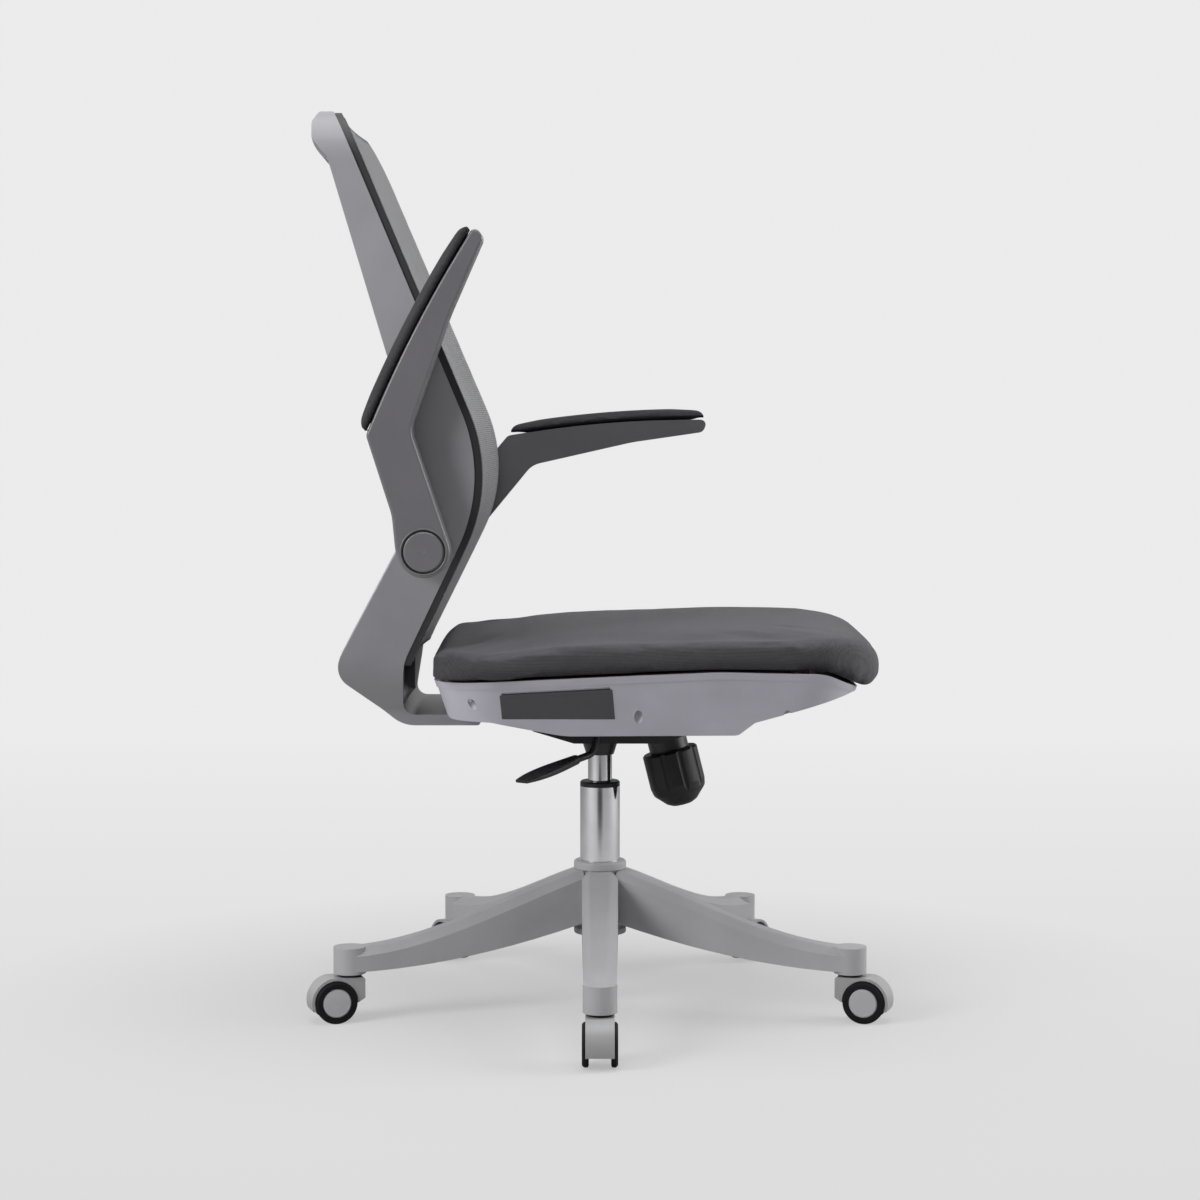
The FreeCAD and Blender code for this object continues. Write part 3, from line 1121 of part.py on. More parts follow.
def make_arm(word, side, swing):
    pivot = Vector(size("arm_pivot_x"), 0, size("arm_pivot_z"))
    inner, width = size("arm_inner_y"), size("arm_width")
    place = Placement(pivot, Rotation(Vector(0, 1, 0), -swing))

    body = doc.addObject("PartDesign::Body", word + "_arm")
    start = inner if side < 0 else -inner - width
    sketch = body_sketch(body, word + "_arm_outline", "XZ_Plane", [arm_outline()], start)
    beam = body.newObject("PartDesign::Pad", word + "_arm_beam")
    beam.Profile = sketch
    bind(beam, "Length", "arm_width")
    doc.recompute()

    outer_y = side * (inner + width)
    outer_edges = []
    for i, edge in enumerate(beam.Shape.Edges):
        box = edge.BoundBox
        if abs(box.YMin - outer_y) < 0.01 and abs(box.YMax - outer_y) < 0.01:
            outer_edges.append("Edge%d" % (i + 1))
    rounding = body.newObject("PartDesign::Fillet", word + "_arm_rounding")
    rounding.Base = (beam, outer_edges)
    bind(rounding, "Radius", "arm_edge_radius")

    cap_offset = inner + width if side < 0 else -inner - width
    cap_circle = body_sketch(body, word + "_cap_circle", "XZ_Plane",
                             [circle_loop(0, 0, size("cap_radius") + size("cap_gap"))], cap_offset)
    cap_recess = body.newObject("PartDesign::Pocket", word + "_cap_recess")
    cap_recess.Profile = cap_circle
    cap_recess.Reversed = side > 0
    bind(cap_recess, "Length", "cap_depth")
    bore_offset = inner if side < 0 else -inner
    bore_circle = body_sketch(body, word + "_bore_circle", "XZ_Plane",
                              [circle_loop(0, 0, size("pivot_pin_radius") + size("running_clearance"))],
                              bore_offset)
    bore = body.newObject("PartDesign::Pocket", word + "_bore")
    bore.Profile = bore_circle
    bore.Reversed = side < 0
    bind(bore, "Length", "arm_width - cap_depth - 4")
    body.Tip = bore
    body.Placement = place
    node(word + "_arm", body)

    cap_face = inner + width - size("cap_depth") + 0.02
    cap_height = size("cap_depth") + size("cap_proud")
    cap_place = place.multiply(Placement(Vector(0, side * cap_face, 0), Rotation(Vector(1, 0, 0), -90 * side)))
    cap_radius = size("cap_radius")
    cap = turned(word + "_pivot_cap", [
        (0, 0), (cap_radius, 0), (cap_radius, cap_height - 1.2), (cap_radius - 1.5, cap_height),
        (0, cap_height + 0.4)], cap_place)
    node(word + "_pivot_cap", cap)
    make_arm_pad(word, side, place)


def make_arm_pad(word, side, place):
    # upholstered pad on the arm's top, from the elbow to the tip: crowned across and along
    thick, crown, seam = size("pad_thickness"), size("pad_crown"), size("pad_seam")
    inner = size("arm_inner_y")
    low, high = inner - size("pad_inner_overhang"), inner + size("arm_width") + size("pad_overhang")
    middle, half = side * (low + high) / 2, (high - low) / 2
    rear, tip = size("arm_elbow") + 2, size("arm_reach") - 2
    right = [Vector(half - 2, seam, 0), Vector(half, seam + thick * 0.4, 0), Vector(half - 4, seam + thick, 0)]
    left = [Vector(-point.x, point.y, 0) for point in right]
    section = [Part.Arc(*right), Part.Arc(right[2], Vector(0, seam + thick + crown, 0), left[2]),
               Part.Arc(left[2], left[1], left[0]), Part.LineSegment(left[0], right[0])]
    first, last = (rear - 4, seam_height(rear - 4)), (tip + 4, seam_height(tip + 4))
    top_line = rounded_loop([first, arm_crest() + (size("arm_bow_radius"),), last])[:3]
    path = doc.addObject("Part::Feature", word + "_pad_path")
    path.Shape = Part.Wire([edge.toShape() for edge in top_line])
    path.Placement = side_plane(middle)
    rise = math.degrees(math.atan2(arm_crest()[1] - first[1], arm_crest()[0] - first[0]))
    start = Placement(Vector(first[0], middle, first[1]),
                      Rotation(Vector(0, 1, 0), -rise).multiply(front_plane().Rotation))
    bar = doc.addObject("Part::Sweep", word + "_pad_bar")
    bar.Sections = [free_sketch(word + "_pad_section", [section], start)]
    bar.Spine = (path, ["Edge%d" % (i + 1) for i in range(len(top_line))])
    bar.Solid = True
    bar.Frenet = False
    crest_u, crest_v = arm_crest()
    high = seam + thick + crown
    profile = rounded_loop([
        (rear, seam_height(rear) - 5), (rear + 1, seam_height(rear) + high - 2, 11),
        (crest_u, crest_v + high + 4, size("arm_bow_radius") / 2),
        (tip - 1, seam_height(tip) + high - 2, 11), (tip, seam_height(tip) - 5)])
    side_form = prism(word + "_pad_side", [profile], side_plane(middle), half + 5, half + 5)
    pad = common(word + "_arm_pad", bar, side_form)
    pad.Placement = place
    node(word + "_arm_pad", pad)


def make_pivot_pins():
    grip = size("pivot_pin_grip")
    start = size("arm_inner_y") - grip
    length = grip + size("arm_width") - size("cap_depth") - 5
    pins = []
    for side, word in ((-1, "right"), (1, "left")):
        pin = doc.addObject("Part::Cylinder", "arm_pin_" + word)
        bind(pin, "Radius", "pivot_pin_radius")
        pin.Height = length
        pin.Placement = Placement(Vector(size("arm_pivot_x"), side * start, size("arm_pivot_z")),
                                  Rotation(Vector(1, 0, 0), -90 * side))
        pins.append(pin)
    group = doc.addObject("Part::Compound", "arm_pivot_pins")
    group.Links = pins
    node("arm_pivot_pins", group)


make_star_base()
make_socket_sleeves()
for leg_index in range(int(size("leg_count"))):
    make_caster(leg_index)
make_gas_column()
make_mechanism_housing()
make_tilt_bracket()
make_tension_spring()
make_tension_knob()
make_height_lever()
make_seat_cushion()
make_seat_board()
make_seat_pan()
make_pan_inserts()
make_fasteners()
make_back_frame()
make_mesh_back()
make_arm("right", -1, size("arm_up_angle"))
make_arm("left", 1, size("arm_level_angle"))
make_pivot_pins()
doc.recompute()

for feature in doc.Objects:
    if "Invalid" in feature.State or "Error" in feature.State:
        raise RuntimeError("%s failed: %s" % (feature.Name, feature.State))
for name, feature in nodes.items():
    if feature.Shape.isNull() or not feature.Shape.isValid() or not feature.Shape.Solids:
        raise RuntimeError("%s has no valid solid" % name)

os.makedirs("parts", exist_ok=True)
for name, feature in nodes.items():
    feature.Shape.exportStep(os.path.join("parts", name + ".step"))
print("%d nodes written" % len(nodes))
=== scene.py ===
import bmesh
import bpy
import json
import math
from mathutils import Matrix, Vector
from mathutils.bvhtree import BVHTree


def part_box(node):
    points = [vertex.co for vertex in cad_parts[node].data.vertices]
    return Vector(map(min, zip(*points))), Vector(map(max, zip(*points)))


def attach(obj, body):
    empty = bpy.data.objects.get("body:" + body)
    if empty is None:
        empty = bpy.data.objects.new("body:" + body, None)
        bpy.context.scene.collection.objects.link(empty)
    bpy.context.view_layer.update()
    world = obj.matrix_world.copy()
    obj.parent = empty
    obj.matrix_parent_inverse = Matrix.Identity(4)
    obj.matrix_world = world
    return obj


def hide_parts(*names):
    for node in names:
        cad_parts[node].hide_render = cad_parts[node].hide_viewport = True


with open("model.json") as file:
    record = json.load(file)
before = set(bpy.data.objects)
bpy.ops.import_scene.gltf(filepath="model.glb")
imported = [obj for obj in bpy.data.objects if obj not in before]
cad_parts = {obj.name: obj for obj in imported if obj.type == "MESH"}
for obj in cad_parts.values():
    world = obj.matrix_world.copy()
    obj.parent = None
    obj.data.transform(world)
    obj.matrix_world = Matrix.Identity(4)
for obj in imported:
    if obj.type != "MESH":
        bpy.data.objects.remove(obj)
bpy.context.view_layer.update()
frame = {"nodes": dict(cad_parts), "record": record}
nodes = frame["nodes"]
scene = bpy.context.scene
scene.view_settings.view_transform = "Standard"
print("frame loaded:", len(nodes), "nodes")


# camera where the photograph was taken from

photoCamera = {"away": 3.2416, "height": 0.7034, "pitch": 0.0706, "lens": 83.82, "sensor": 36.0}

cameraData = bpy.data.cameras.new("photoCamera")
cameraData.lens = photoCamera["lens"]
cameraData.sensor_width = photoCamera["sensor"]
camera = bpy.data.objects.new("photoCamera", cameraData)
camera.location = (0.0, -photoCamera["away"], photoCamera["height"])
camera.rotation_euler = (math.pi / 2 - photoCamera["pitch"], 0.0, 0.0)
scene.collection.objects.link(camera)
scene.camera = camera


# small helpers for node trees

def startMaterial(name, roughness):
    material = bpy.data.materials.new(name)
    material.use_nodes = True
    shader = material.node_tree.nodes["Principled BSDF"]
    shader.inputs["Roughness"].default_value = roughness
    return material, material.node_tree, shader


def addNode(tree, kind, **values):
    node = tree.nodes.new(kind)
    for key, value in values.items():
        if key in node.inputs:
            node.inputs[key].default_value = value
        else:
            setattr(node, key, value)
    return node


def objectPoint(tree):
    return addNode(tree, "ShaderNodeTexCoord").outputs["Object"]


def noise(tree, point, scale, detail):
    texture = addNode(tree, "ShaderNodeTexNoise", Scale=scale, Detail=detail)
    tree.links.new(point, texture.inputs["Vector"])
    return texture.outputs["Fac"]


def toneBetween(tree, factor, low, high, lowAt=0.3, highAt=0.7):
    ramp = addNode(tree, "ShaderNodeValToRGB")
    ramp.color_ramp.elements[0].position = lowAt
    ramp.color_ramp.elements[0].color = (*low, 1.0)
    ramp.color_ramp.elements[1].position = highAt
    ramp.color_ramp.elements[1].color = (*high, 1.0)
    tree.links.new(factor, ramp.inputs["Fac"])
    return ramp.outputs["Color"]


def spanOf(tree, factor, low, high, fromLow=0.0, fromHigh=1.0):
    node = addNode(tree, "ShaderNodeMapRange")
    node.inputs["From Min"].default_value = fromLow
    node.inputs["From Max"].default_value = fromHigh
    node.inputs["To Min"].default_value = low
    node.inputs["To Max"].default_value = high
    tree.links.new(factor, node.inputs["Value"])
    return node.outputs["Result"]


def axesOf(tree, vector):
    split = addNode(tree, "ShaderNodeSeparateXYZ")
    tree.links.new(vector, split.inputs["Vector"])
    return split.outputs


def multiplied(tree, first, second):
    mix = addNode(tree, "ShaderNodeMix", data_type="RGBA", blend_type="MULTIPLY")
    mix.inputs["Factor"].default_value = 1.0
    tree.links.new(first, mix.inputs["A"])
    tree.links.new(second, mix.inputs["B"])
    return mix.outputs["Result"]


def chosenShader(tree, factor, first, second):
    mix = addNode(tree, "ShaderNodeMixShader")
    tree.links.new(factor, mix.inputs[0])
    tree.links.new(first, mix.inputs[1])
    tree.links.new(second, mix.inputs[2])
    return mix.outputs[0]


def evenTone(level):
    return (level, level, level)


def scaledTone(tone, scale):
    return tuple(c * scale for c in tone)


def calc(tree, operation, first, second=None, value=None):
    node = addNode(tree, "ShaderNodeMath", operation=operation)
    tree.links.new(first, node.inputs[0])
    if second is not None:
        tree.links.new(second, node.inputs[1])
    elif value is not None:
        node.inputs[1].default_value = value
    return node.outputs[0]


def bumpFrom(tree, shader, height, strength, distance):
    bump = addNode(tree, "ShaderNodeBump", Strength=strength, Distance=distance)
    tree.links.new(height, bump.inputs["Height"])
    tree.links.new(bump.outputs["Normal"], shader.inputs["Normal"])


# finishes

moulding = {"cloudScale": 14.0, "cloudDetail": 4.0, "grainScale": 1500.0, "grainDetail": 2.0, "grainDepth": 0.0004,
            "glossSpan": 0.08, "specular": 0.45}


def mouldedPlastic(name, tone, spread=0.06, roughness=0.48, grain=0.10):
    material, tree, shader = startMaterial(name, roughness)
    point = objectPoint(tree)
    cloud = noise(tree, point, moulding["cloudScale"], moulding["cloudDetail"])
    low, high = scaledTone(tone, 1.0 - spread), scaledTone(tone, 1.0 + spread)
    tree.links.new(toneBetween(tree, cloud, low, high), shader.inputs["Base Color"])
    fine = noise(tree, point, moulding["grainScale"], moulding["grainDetail"])
    gloss = spanOf(tree, fine, roughness - moulding["glossSpan"], roughness + moulding["glossSpan"])
    tree.links.new(gloss, shader.inputs["Roughness"])
    bumpFrom(tree, shader, fine, grain, moulding["grainDepth"])
    shader.inputs["Specular IOR Level"].default_value = moulding["specular"]
    return material


polish = {"roughness": 0.09, "smearScale": 40.0, "smearDetail": 3.0, "dull": (0.66, 0.66, 0.68),
          "bright": (0.74, 0.74, 0.76), "smooth": 0.06, "hazy": 0.13}


def polishedChrome(name):
    material, tree, shader = startMaterial(name, polish["roughness"])
    shader.inputs["Metallic"].default_value = 1.0
    smear = noise(tree, objectPoint(tree), polish["smearScale"], polish["smearDetail"])
    tree.links.new(toneBetween(tree, smear, polish["dull"], polish["bright"]), shader.inputs["Base Color"])
    tree.links.new(spanOf(tree, smear, polish["smooth"], polish["hazy"]), shader.inputs["Roughness"])
    return material


plating = {"cloudScale": 120.0, "cloudDetail": 4.0, "dullShare": 0.85, "smoother": 0.08, "rougher": 0.1}


def platedSteel(name, tone, roughness):
    material, tree, shader = startMaterial(name, roughness)
    shader.inputs["Metallic"].default_value = 1.0
    cloud = noise(tree, objectPoint(tree), plating["cloudScale"], plating["cloudDetail"])
    dull = scaledTone(tone, plating["dullShare"])
    tree.links.new(toneBetween(tree, cloud, dull, tone), shader.inputs["Base Color"])
    gloss = spanOf(tree, cloud, roughness - plating["smoother"], roughness + plating["rougher"])
    tree.links.new(gloss, shader.inputs["Roughness"])
    return material


paint = {"peelScale": 420.0, "peelDetail": 2.0, "palerShare": 1.5, "glossSpan": 0.06, "peel": 0.12,
         "peelDepth": 0.0006}


def paintedBlack(name, tone, roughness):
    material, tree, shader = startMaterial(name, roughness)
    peel = noise(tree, objectPoint(tree), paint["peelScale"], paint["peelDetail"])
    paler = scaledTone(tone, paint["palerShare"])
    tree.links.new(toneBetween(tree, peel, tone, paler), shader.inputs["Base Color"])
    gloss = spanOf(tree, peel, roughness - paint["glossSpan"], roughness + paint["glossSpan"])
    tree.links.new(gloss, shader.inputs["Roughness"])
    bumpFrom(tree, shader, peel, paint["peel"], paint["peelDepth"])
    return material


rubber = {"roughness": 0.7, "dustScale": 90.0, "dustDetail": 5.0, "clean": (0.004, 0.004, 0.005),
          "dusty": (0.010, 0.010, 0.011), "smooth": 0.6, "rough": 0.82, "specular": 0.2}


def rubberTread(name):
    material, tree, shader = startMaterial(name, rubber["roughness"])
    dust = noise(tree, objectPoint(tree), rubber["dustScale"], rubber["dustDetail"])
    tree.links.new(toneBetween(tree, dust, rubber["clean"], rubber["dusty"]), shader.inputs["Base Color"])
    tree.links.new(spanOf(tree, dust, rubber["smooth"], rubber["rough"]), shader.inputs["Roughness"])
    shader.inputs["Specular IOR Level"].default_value = rubber["specular"]
    return material


veneer = {"roughness": 0.65, "stretch": (3.0, 60.0, 60.0), "grainScale": 4.0, "grainDetail": 6.0,
          "dark": (0.34, 0.23, 0.13), "pale": (0.52, 0.39, 0.24), "grain": 0.15, "grainDepth": 0.0004}


def plywoodFace(name):
    material, tree, shader = startMaterial(name, veneer["roughness"])
    stretch = addNode(tree, "ShaderNodeMapping", Scale=veneer["stretch"])
    tree.links.new(objectPoint(tree), stretch.inputs["Vector"])
    grain = noise(tree, stretch.outputs["Vector"], veneer["grainScale"], veneer["grainDetail"])
    tree.links.new(toneBetween(tree, grain, veneer["dark"], veneer["pale"]), shader.inputs["Base Color"])
    bumpFrom(tree, shader, grain, veneer["grain"], veneer["grainDepth"])
    return material


def threadWaves(tree, point, pitch):
    # one wave along each axis, so that a weave shows on tops and sides alike
    along = axesOf(tree, point)
    waves = []
    for axis in "XYZ":
        turns = calc(tree, "MULTIPLY", along[axis], value=2 * math.pi / pitch)
        waves.append(calc(tree, "SINE", turns))
    return waves


clothWeave = {"roughness": 0.85, "slubScale": 260.0, "slubDetail": 3.0, "slubShare": 0.6, "cloudScale": 9.0,
              "cloudDetail": 3.0, "cloudShare": 0.4, "weaveShare": 0.16, "lowAt": 0.2, "highAt": 0.8,
              "sideAt": 0.25, "topAt": 0.8, "relief": 0.35, "reliefDepth": 0.0009,
              "sheenRoughness": 0.45, "specular": 0.25}


def wovenCloth(name, tone, pitch, contrast, sheen, sideShadeTone=1.0, jointShadeTone=1.0):
    material, tree, shader = startMaterial(name, clothWeave["roughness"])
    point = objectPoint(tree)
    waveX, waveY, waveZ = threadWaves(tree, point, pitch)
    crossed = calc(tree, "MULTIPLY", waveX, waveY)
    upright = calc(tree, "MULTIPLY", waveX, waveZ)
    endwise = calc(tree, "MULTIPLY", waveY, waveZ)
    weave = calc(tree, "ADD", calc(tree, "ADD", crossed, upright), endwise)
    threads = calc(tree, "MULTIPLY", weave, value=clothWeave["weaveShare"])
    slub = noise(tree, point, clothWeave["slubScale"], clothWeave["slubDetail"])
    slub = calc(tree, "MULTIPLY", slub, value=clothWeave["slubShare"])
    cloud = noise(tree, point, clothWeave["cloudScale"], clothWeave["cloudDetail"])
    cloud = calc(tree, "MULTIPLY", cloud, value=clothWeave["cloudShare"])
    mixed = calc(tree, "ADD", threads, calc(tree, "ADD", slub, cloud))
    low, high = scaledTone(tone, 1.0 - contrast), scaledTone(tone, 1.0 + contrast)
    yarn = toneBetween(tree, mixed, low, high, clothWeave["lowAt"], clothWeave["highAt"])
    # painted shade: the colour is darker on surfaces facing sideways than on those facing up or forward, as the
    # lamps light them
    facing = axesOf(tree, addNode(tree, "ShaderNodeNewGeometry").outputs["Normal"])
    lit = calc(tree, "MAXIMUM", facing["Z"], facing["X"])
    paintedSideShade = toneBetween(tree, lit, evenTone(sideShadeTone), evenTone(1.0), clothWeave["sideAt"], clothWeave["topAt"])
    # painted shade: the colour darkens towards the joint with the carrier part, where a shadow gap falls
    rim = addNode(tree, "ShaderNodeAttribute", attribute_name="paintedJointShade")
    shade = toneBetween(tree, rim.outputs["Fac"], evenTone(1.0), evenTone(jointShadeTone), 0.0, 1.0)
    shaded = multiplied(tree, multiplied(tree, yarn, paintedSideShade), shade)
    tree.links.new(shaded, shader.inputs["Base Color"])
    bumpFrom(tree, shader, mixed, clothWeave["relief"], clothWeave["reliefDepth"])
    shader.inputs["Sheen Weight"].default_value = sheen
    shader.inputs["Sheen Roughness"].default_value = clothWeave["sheenRoughness"]
    shader.inputs["Specular IOR Level"].default_value = clothWeave["specular"]
    return material


knit = {"roughness": 0.7, "cloudScale": 12.0, "cloudDetail": 2.0, "cloudShare": 0.35, "latticeShare": 0.5,
        "level": 0.3, "darkShare": 0.75, "paleShare": 1.2, "lowAt": 0.1, "highAt": 0.9, "openFrom": 0.62,
        "openAlpha": 0.30, "relief": 0.4, "reliefDepth": 0.001, "sheen": 0.25, "specular": 0.3}


def openMesh(name, tone, pitch):
    # knitted mesh: columns and rows of round openings between crossing threads
    material, tree, shader = startMaterial(name, knit["roughness"])
    point = objectPoint(tree)
    waves = threadWaves(tree, point, pitch)
    lattice = calc(tree, "MULTIPLY", waves[1], waves[2])
    cloud = noise(tree, point, knit["cloudScale"], knit["cloudDetail"])
    cloud = calc(tree, "MULTIPLY", cloud, value=knit["cloudShare"])
    crossed = calc(tree, "MULTIPLY", lattice, value=knit["latticeShare"])
    lift = calc(tree, "ADD", crossed, calc(tree, "ADD", cloud, value=knit["level"]))
    low, high = scaledTone(tone, knit["darkShare"]), scaledTone(tone, knit["paleShare"])
    tree.links.new(toneBetween(tree, lift, low, high, knit["lowAt"], knit["highAt"]), shader.inputs["Base Color"])
    opening = calc(tree, "GREATER_THAN", calc(tree, "ABSOLUTE", lattice), value=knit["openFrom"])
    tree.links.new(spanOf(tree, opening, 1.0, knit["openAlpha"]), shader.inputs["Alpha"])
    bumpFrom(tree, shader, lift, knit["relief"], knit["reliefDepth"])
    shader.inputs["Sheen Weight"].default_value = knit["sheen"]
    shader.inputs["Specular IOR Level"].default_value = knit["specular"]
    return material


finishes = {
    "frame_grey": mouldedPlastic("frameGrey", (0.305, 0.299, 0.321), roughness=0.42, grain=0.06),
    "base_grey": mouldedPlastic("baseGrey", (0.42, 0.416, 0.426)),
    "hood_grey": mouldedPlastic("hoodGrey", (0.36, 0.36, 0.365), roughness=0.38),
    "wheel_grey": mouldedPlastic("wheelGrey", (0.46, 0.46, 0.47), roughness=0.42),
    "tread_black": rubberTread("treadBlack"),
    "black_plastic": mouldedPlastic("blackPlastic", (0.006, 0.006, 0.007), 0.25, 0.5, 0.14),
    "dark_insert": mouldedPlastic("darkInsert", (0.070, 0.068, 0.078), roughness=0.6),
    "arm_grey": mouldedPlastic("armGrey", (0.165, 0.161, 0.174), roughness=0.30, grain=0.04),
    # pad and seat fabrics carry painted shade: darker on side-facing surfaces, and darker along their joints with
    # arm and pan
    "pad_charcoal": wovenCloth("padCharcoal", (0.040, 0.039, 0.043), 0.0022, 0.35, 0.05, jointShadeTone=0.15),
    "seat_fabric": wovenCloth("seatFabric", (0.088, 0.086, 0.096), 0.0026, 0.3, 0.06, 0.6, 0.3),
    "mesh_grey": openMesh("meshGrey", (0.24, 0.24, 0.25), 0.0046),
    "carrier_charcoal": mouldedPlastic("carrierCharcoal", (0.030, 0.029, 0.033), 0.1, 0.5),
    "chrome": polishedChrome("chrome"),
    "steel": platedSteel("zincSteel", (0.52, 0.52, 0.53), 0.35),
    "black_steel": paintedBlack("blackSteel", (0.011, 0.011, 0.012), 0.4),
    "plywood": plywoodFace("plywood"),
}

ownFinish = {"seat_pan": mouldedPlastic("panGrey", (0.49, 0.475, 0.535))}

for part in frame["record"]["subparts"]:
    node = nodes[part["node"]]
    node.data.materials.clear()
    node.data.materials.append(ownFinish.get(part["node"], finishes[part["material_slot"]]))
print("finishes on", len(nodes), "nodes")


# soft pieces start from a merged copy of their solid

mergeWithin = 0.00002


def mergedCopy(nodeName, pieceName):
    mesh = nodes[nodeName].data.copy()
    mesh.name = pieceName
    mesh.materials.clear()
    form = bmesh.new()
    form.from_mesh(mesh)
    bmesh.ops.remove_doubles(form, verts=form.verts, dist=mergeWithin)
    bmesh.ops.recalc_face_normals(form, faces=form.faces)
    form.to_mesh(mesh)
    form.free()
    piece = bpy.data.objects.new(pieceName, mesh)
    scene.collection.objects.link(piece)
    return piece


def bakeModifiers(piece):
    graph = bpy.context.evaluated_depsgraph_get()
    mesh = bpy.data.meshes.new_from_object(piece.evaluated_get(graph))
    piece.modifiers.clear()
    old = piece.data
    piece.data = mesh
    bpy.data.meshes.remove(old)


def evenSkin(piece, voxel):
    remesh = piece.modifiers.new("evenSkin", "REMESH")
    remesh.mode = "VOXEL"
    remesh.voxel_size = voxel
    bakeModifiers(piece)


cover = {"quality": 6, "mass": 0.3, "shearShare": 0.5, "bending": 0.5, "steps": 20}


def inflate(piece, settings, isHeld):
    # shrink a little, let pressure fill the cover, then hold every point near where it began
    start = [v.co.copy() for v in piece.data.vertices]
    for vertex in piece.data.vertices:
        vertex.co -= vertex.normal * settings["drawIn"]
    held = piece.vertex_groups.new(name="held")
    held.add([i for i, point in enumerate(start) if isHeld(point)], 1.0, "REPLACE")
    cloth = piece.modifiers.new("cover", "CLOTH")
    cloth.settings.quality = cover["quality"]
    cloth.settings.mass = cover["mass"]
    cloth.settings.tension_stiffness = settings["stiffness"]
    cloth.settings.compression_stiffness = settings["stiffness"]
    cloth.settings.shear_stiffness = settings["stiffness"] * cover["shearShare"]
    cloth.settings.bending_stiffness = cover["bending"]
    cloth.settings.use_pressure = True
    cloth.settings.uniform_pressure_force = settings["pressure"]
    cloth.settings.vertex_group_mass = "held"
    cloth.settings.effector_weights.gravity = 0.0
    cloth.collision_settings.use_collision = False
    for step in range(1, cover["steps"] + 1):
        scene.frame_set(step)
    graph = bpy.context.evaluated_depsgraph_get()
    swollen = [v.co.copy() for v in piece.evaluated_get(graph).data.vertices]
    piece.modifiers.clear()
    scene.frame_set(1)
    for vertex, begin, end in zip(piece.data.vertices, start, swollen):
        move = end - begin
        if move.length > settings["cap"]:
            move *= settings["cap"] / move.length
        vertex.co = begin + move
    piece.vertex_groups.clear()
    piece.data.update()


def drawnSeam(piece, settings):
    # a fold all round where the top cover turns down to the sides
    piece.data.update()
    for vertex in piece.data.vertices:
        off = abs(vertex.normal.z - settings["seamSlope"]) / settings["seamSpread"]
        if off < 1.0:
            vertex.co -= vertex.normal * settings["seamDepth"] * (1.0 - off)


def settleTop(piece, settings):
    # lifts and dips of the upper cover along the seat, each spread softly over its neighbours
    piece.data.update()
    line = settings["topLine"]
    for vertex in piece.data.vertices:
        share = min(1.0, max(0.0, (vertex.normal.z - settings["liftFrom"]) / settings["liftSpan"]))
        near = [math.exp(-((vertex.co.x - x) / settings["lineSpread"]) ** 2) for x, lift in line]
        lifts = [weight * lift for weight, (x, lift) in zip(near, line)]
        vertex.co.z += share * sum(lifts) / sum(near)


def fillNose(piece, settings):
    # the cover swells forward and up at the front edge and runs smoothly round it
    form = bmesh.new()
    form.from_mesh(piece.data)
    nose = [vertex for vertex in form.verts if vertex.co.x > settings["noseFrom"]]
    for vertex in nose:
        share = max(0.0, vertex.normal.x) * max(0.0, 1.0 + settings["noseLean"] * vertex.normal.z)
        vertex.co += vertex.normal * settings["noseFill"] * share
    for turn in range(settings["noseRounds"]):
        bmesh.ops.smooth_vert(form, verts=nose, factor=settings["noseEase"], use_axis_x=True, use_axis_y=True,
                              use_axis_z=True)
    form.to_mesh(piece.data)
    form.free()


def surfaceOf(mesh):
    return BVHTree.FromPolygons([v.co for v in mesh.vertices], [f.vertices for f in mesh.polygons])


def shadeRim(piece, carrierName, settings):
    # tuck the cover in along the joint with its carrier, and mark the joint, where painted shade darkens the
    # cover's colour
    joint = surfaceOf(nodes[carrierName].data)
    piece.data.update()
    shade = piece.data.attributes.new("paintedJointShade", "FLOAT", "POINT")
    for vertex, mark in zip(piece.data.vertices, shade.data):
        away = joint.find_nearest(vertex.co)[3]
        mark.value = max(0.0, 1.0 - away / settings["rimReach"])
        vertex.co -= vertex.normal * settings["rimTuck"] * mark.value


def finishSoft(piece, level):
    smooth = piece.modifiers.new("smooth", "SUBSURF")
    smooth.levels = level
    smooth.render_levels = level
    for face in piece.data.polygons:
        face.use_smooth = True


def dress(piece, body, slotName, *replaced):
    piece.data.materials.clear()
    piece.data.materials.append(finishes[slotName])
    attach(piece, body)
    if replaced:
        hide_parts(*replaced)


# seat cushion

seatCushion = {"voxel": 0.006, "drawIn": 0.003, "pressure": 4.0, "stiffness": 12.0, "cap": 0.003,
               "seamSlope": 0.72, "seamSpread": 0.14, "seamDepth": 0.0015, "rimReach": 0.016, "rimTuck": 0.0,
               "rimHeight": 0.4163, "rimRise": 0.047, "rimRiseTo": 0.13, "rimDrop": 0.2, "rimDropFrom": 0.19,
               "liftFrom": -0.1, "liftSpan": 0.5, "lineSpread": 0.024,
               "topLine": ((-0.182, 0.009), (-0.160, -0.001), (-0.139, -0.0065), (-0.104, -0.005), (-0.070, 0.0005),
                           (-0.035, 0.0035), (0.0, 0.0035), (0.035, 0.0005), (0.070, -0.003), (0.104, -0.005),
                           (0.139, -0.005), (0.174, -0.0045), (0.209, -0.003), (0.244, 0.002), (0.276, 0.006),
                           (0.305, 0.008)),
               "noseFrom": 0.215, "noseFill": 0.0065, "noseLean": 0.8, "noseRounds": 8, "noseEase": 0.5,
               "smoothLevel": 1}


def underPanRim(point):
    rise = seatCushion["rimRise"] * min(point.x, seatCushion["rimRiseTo"])
    drop = max(0.0, point.x - seatCushion["rimDropFrom"]) * seatCushion["rimDrop"]
    return point.z < seatCushion["rimHeight"] + rise - drop


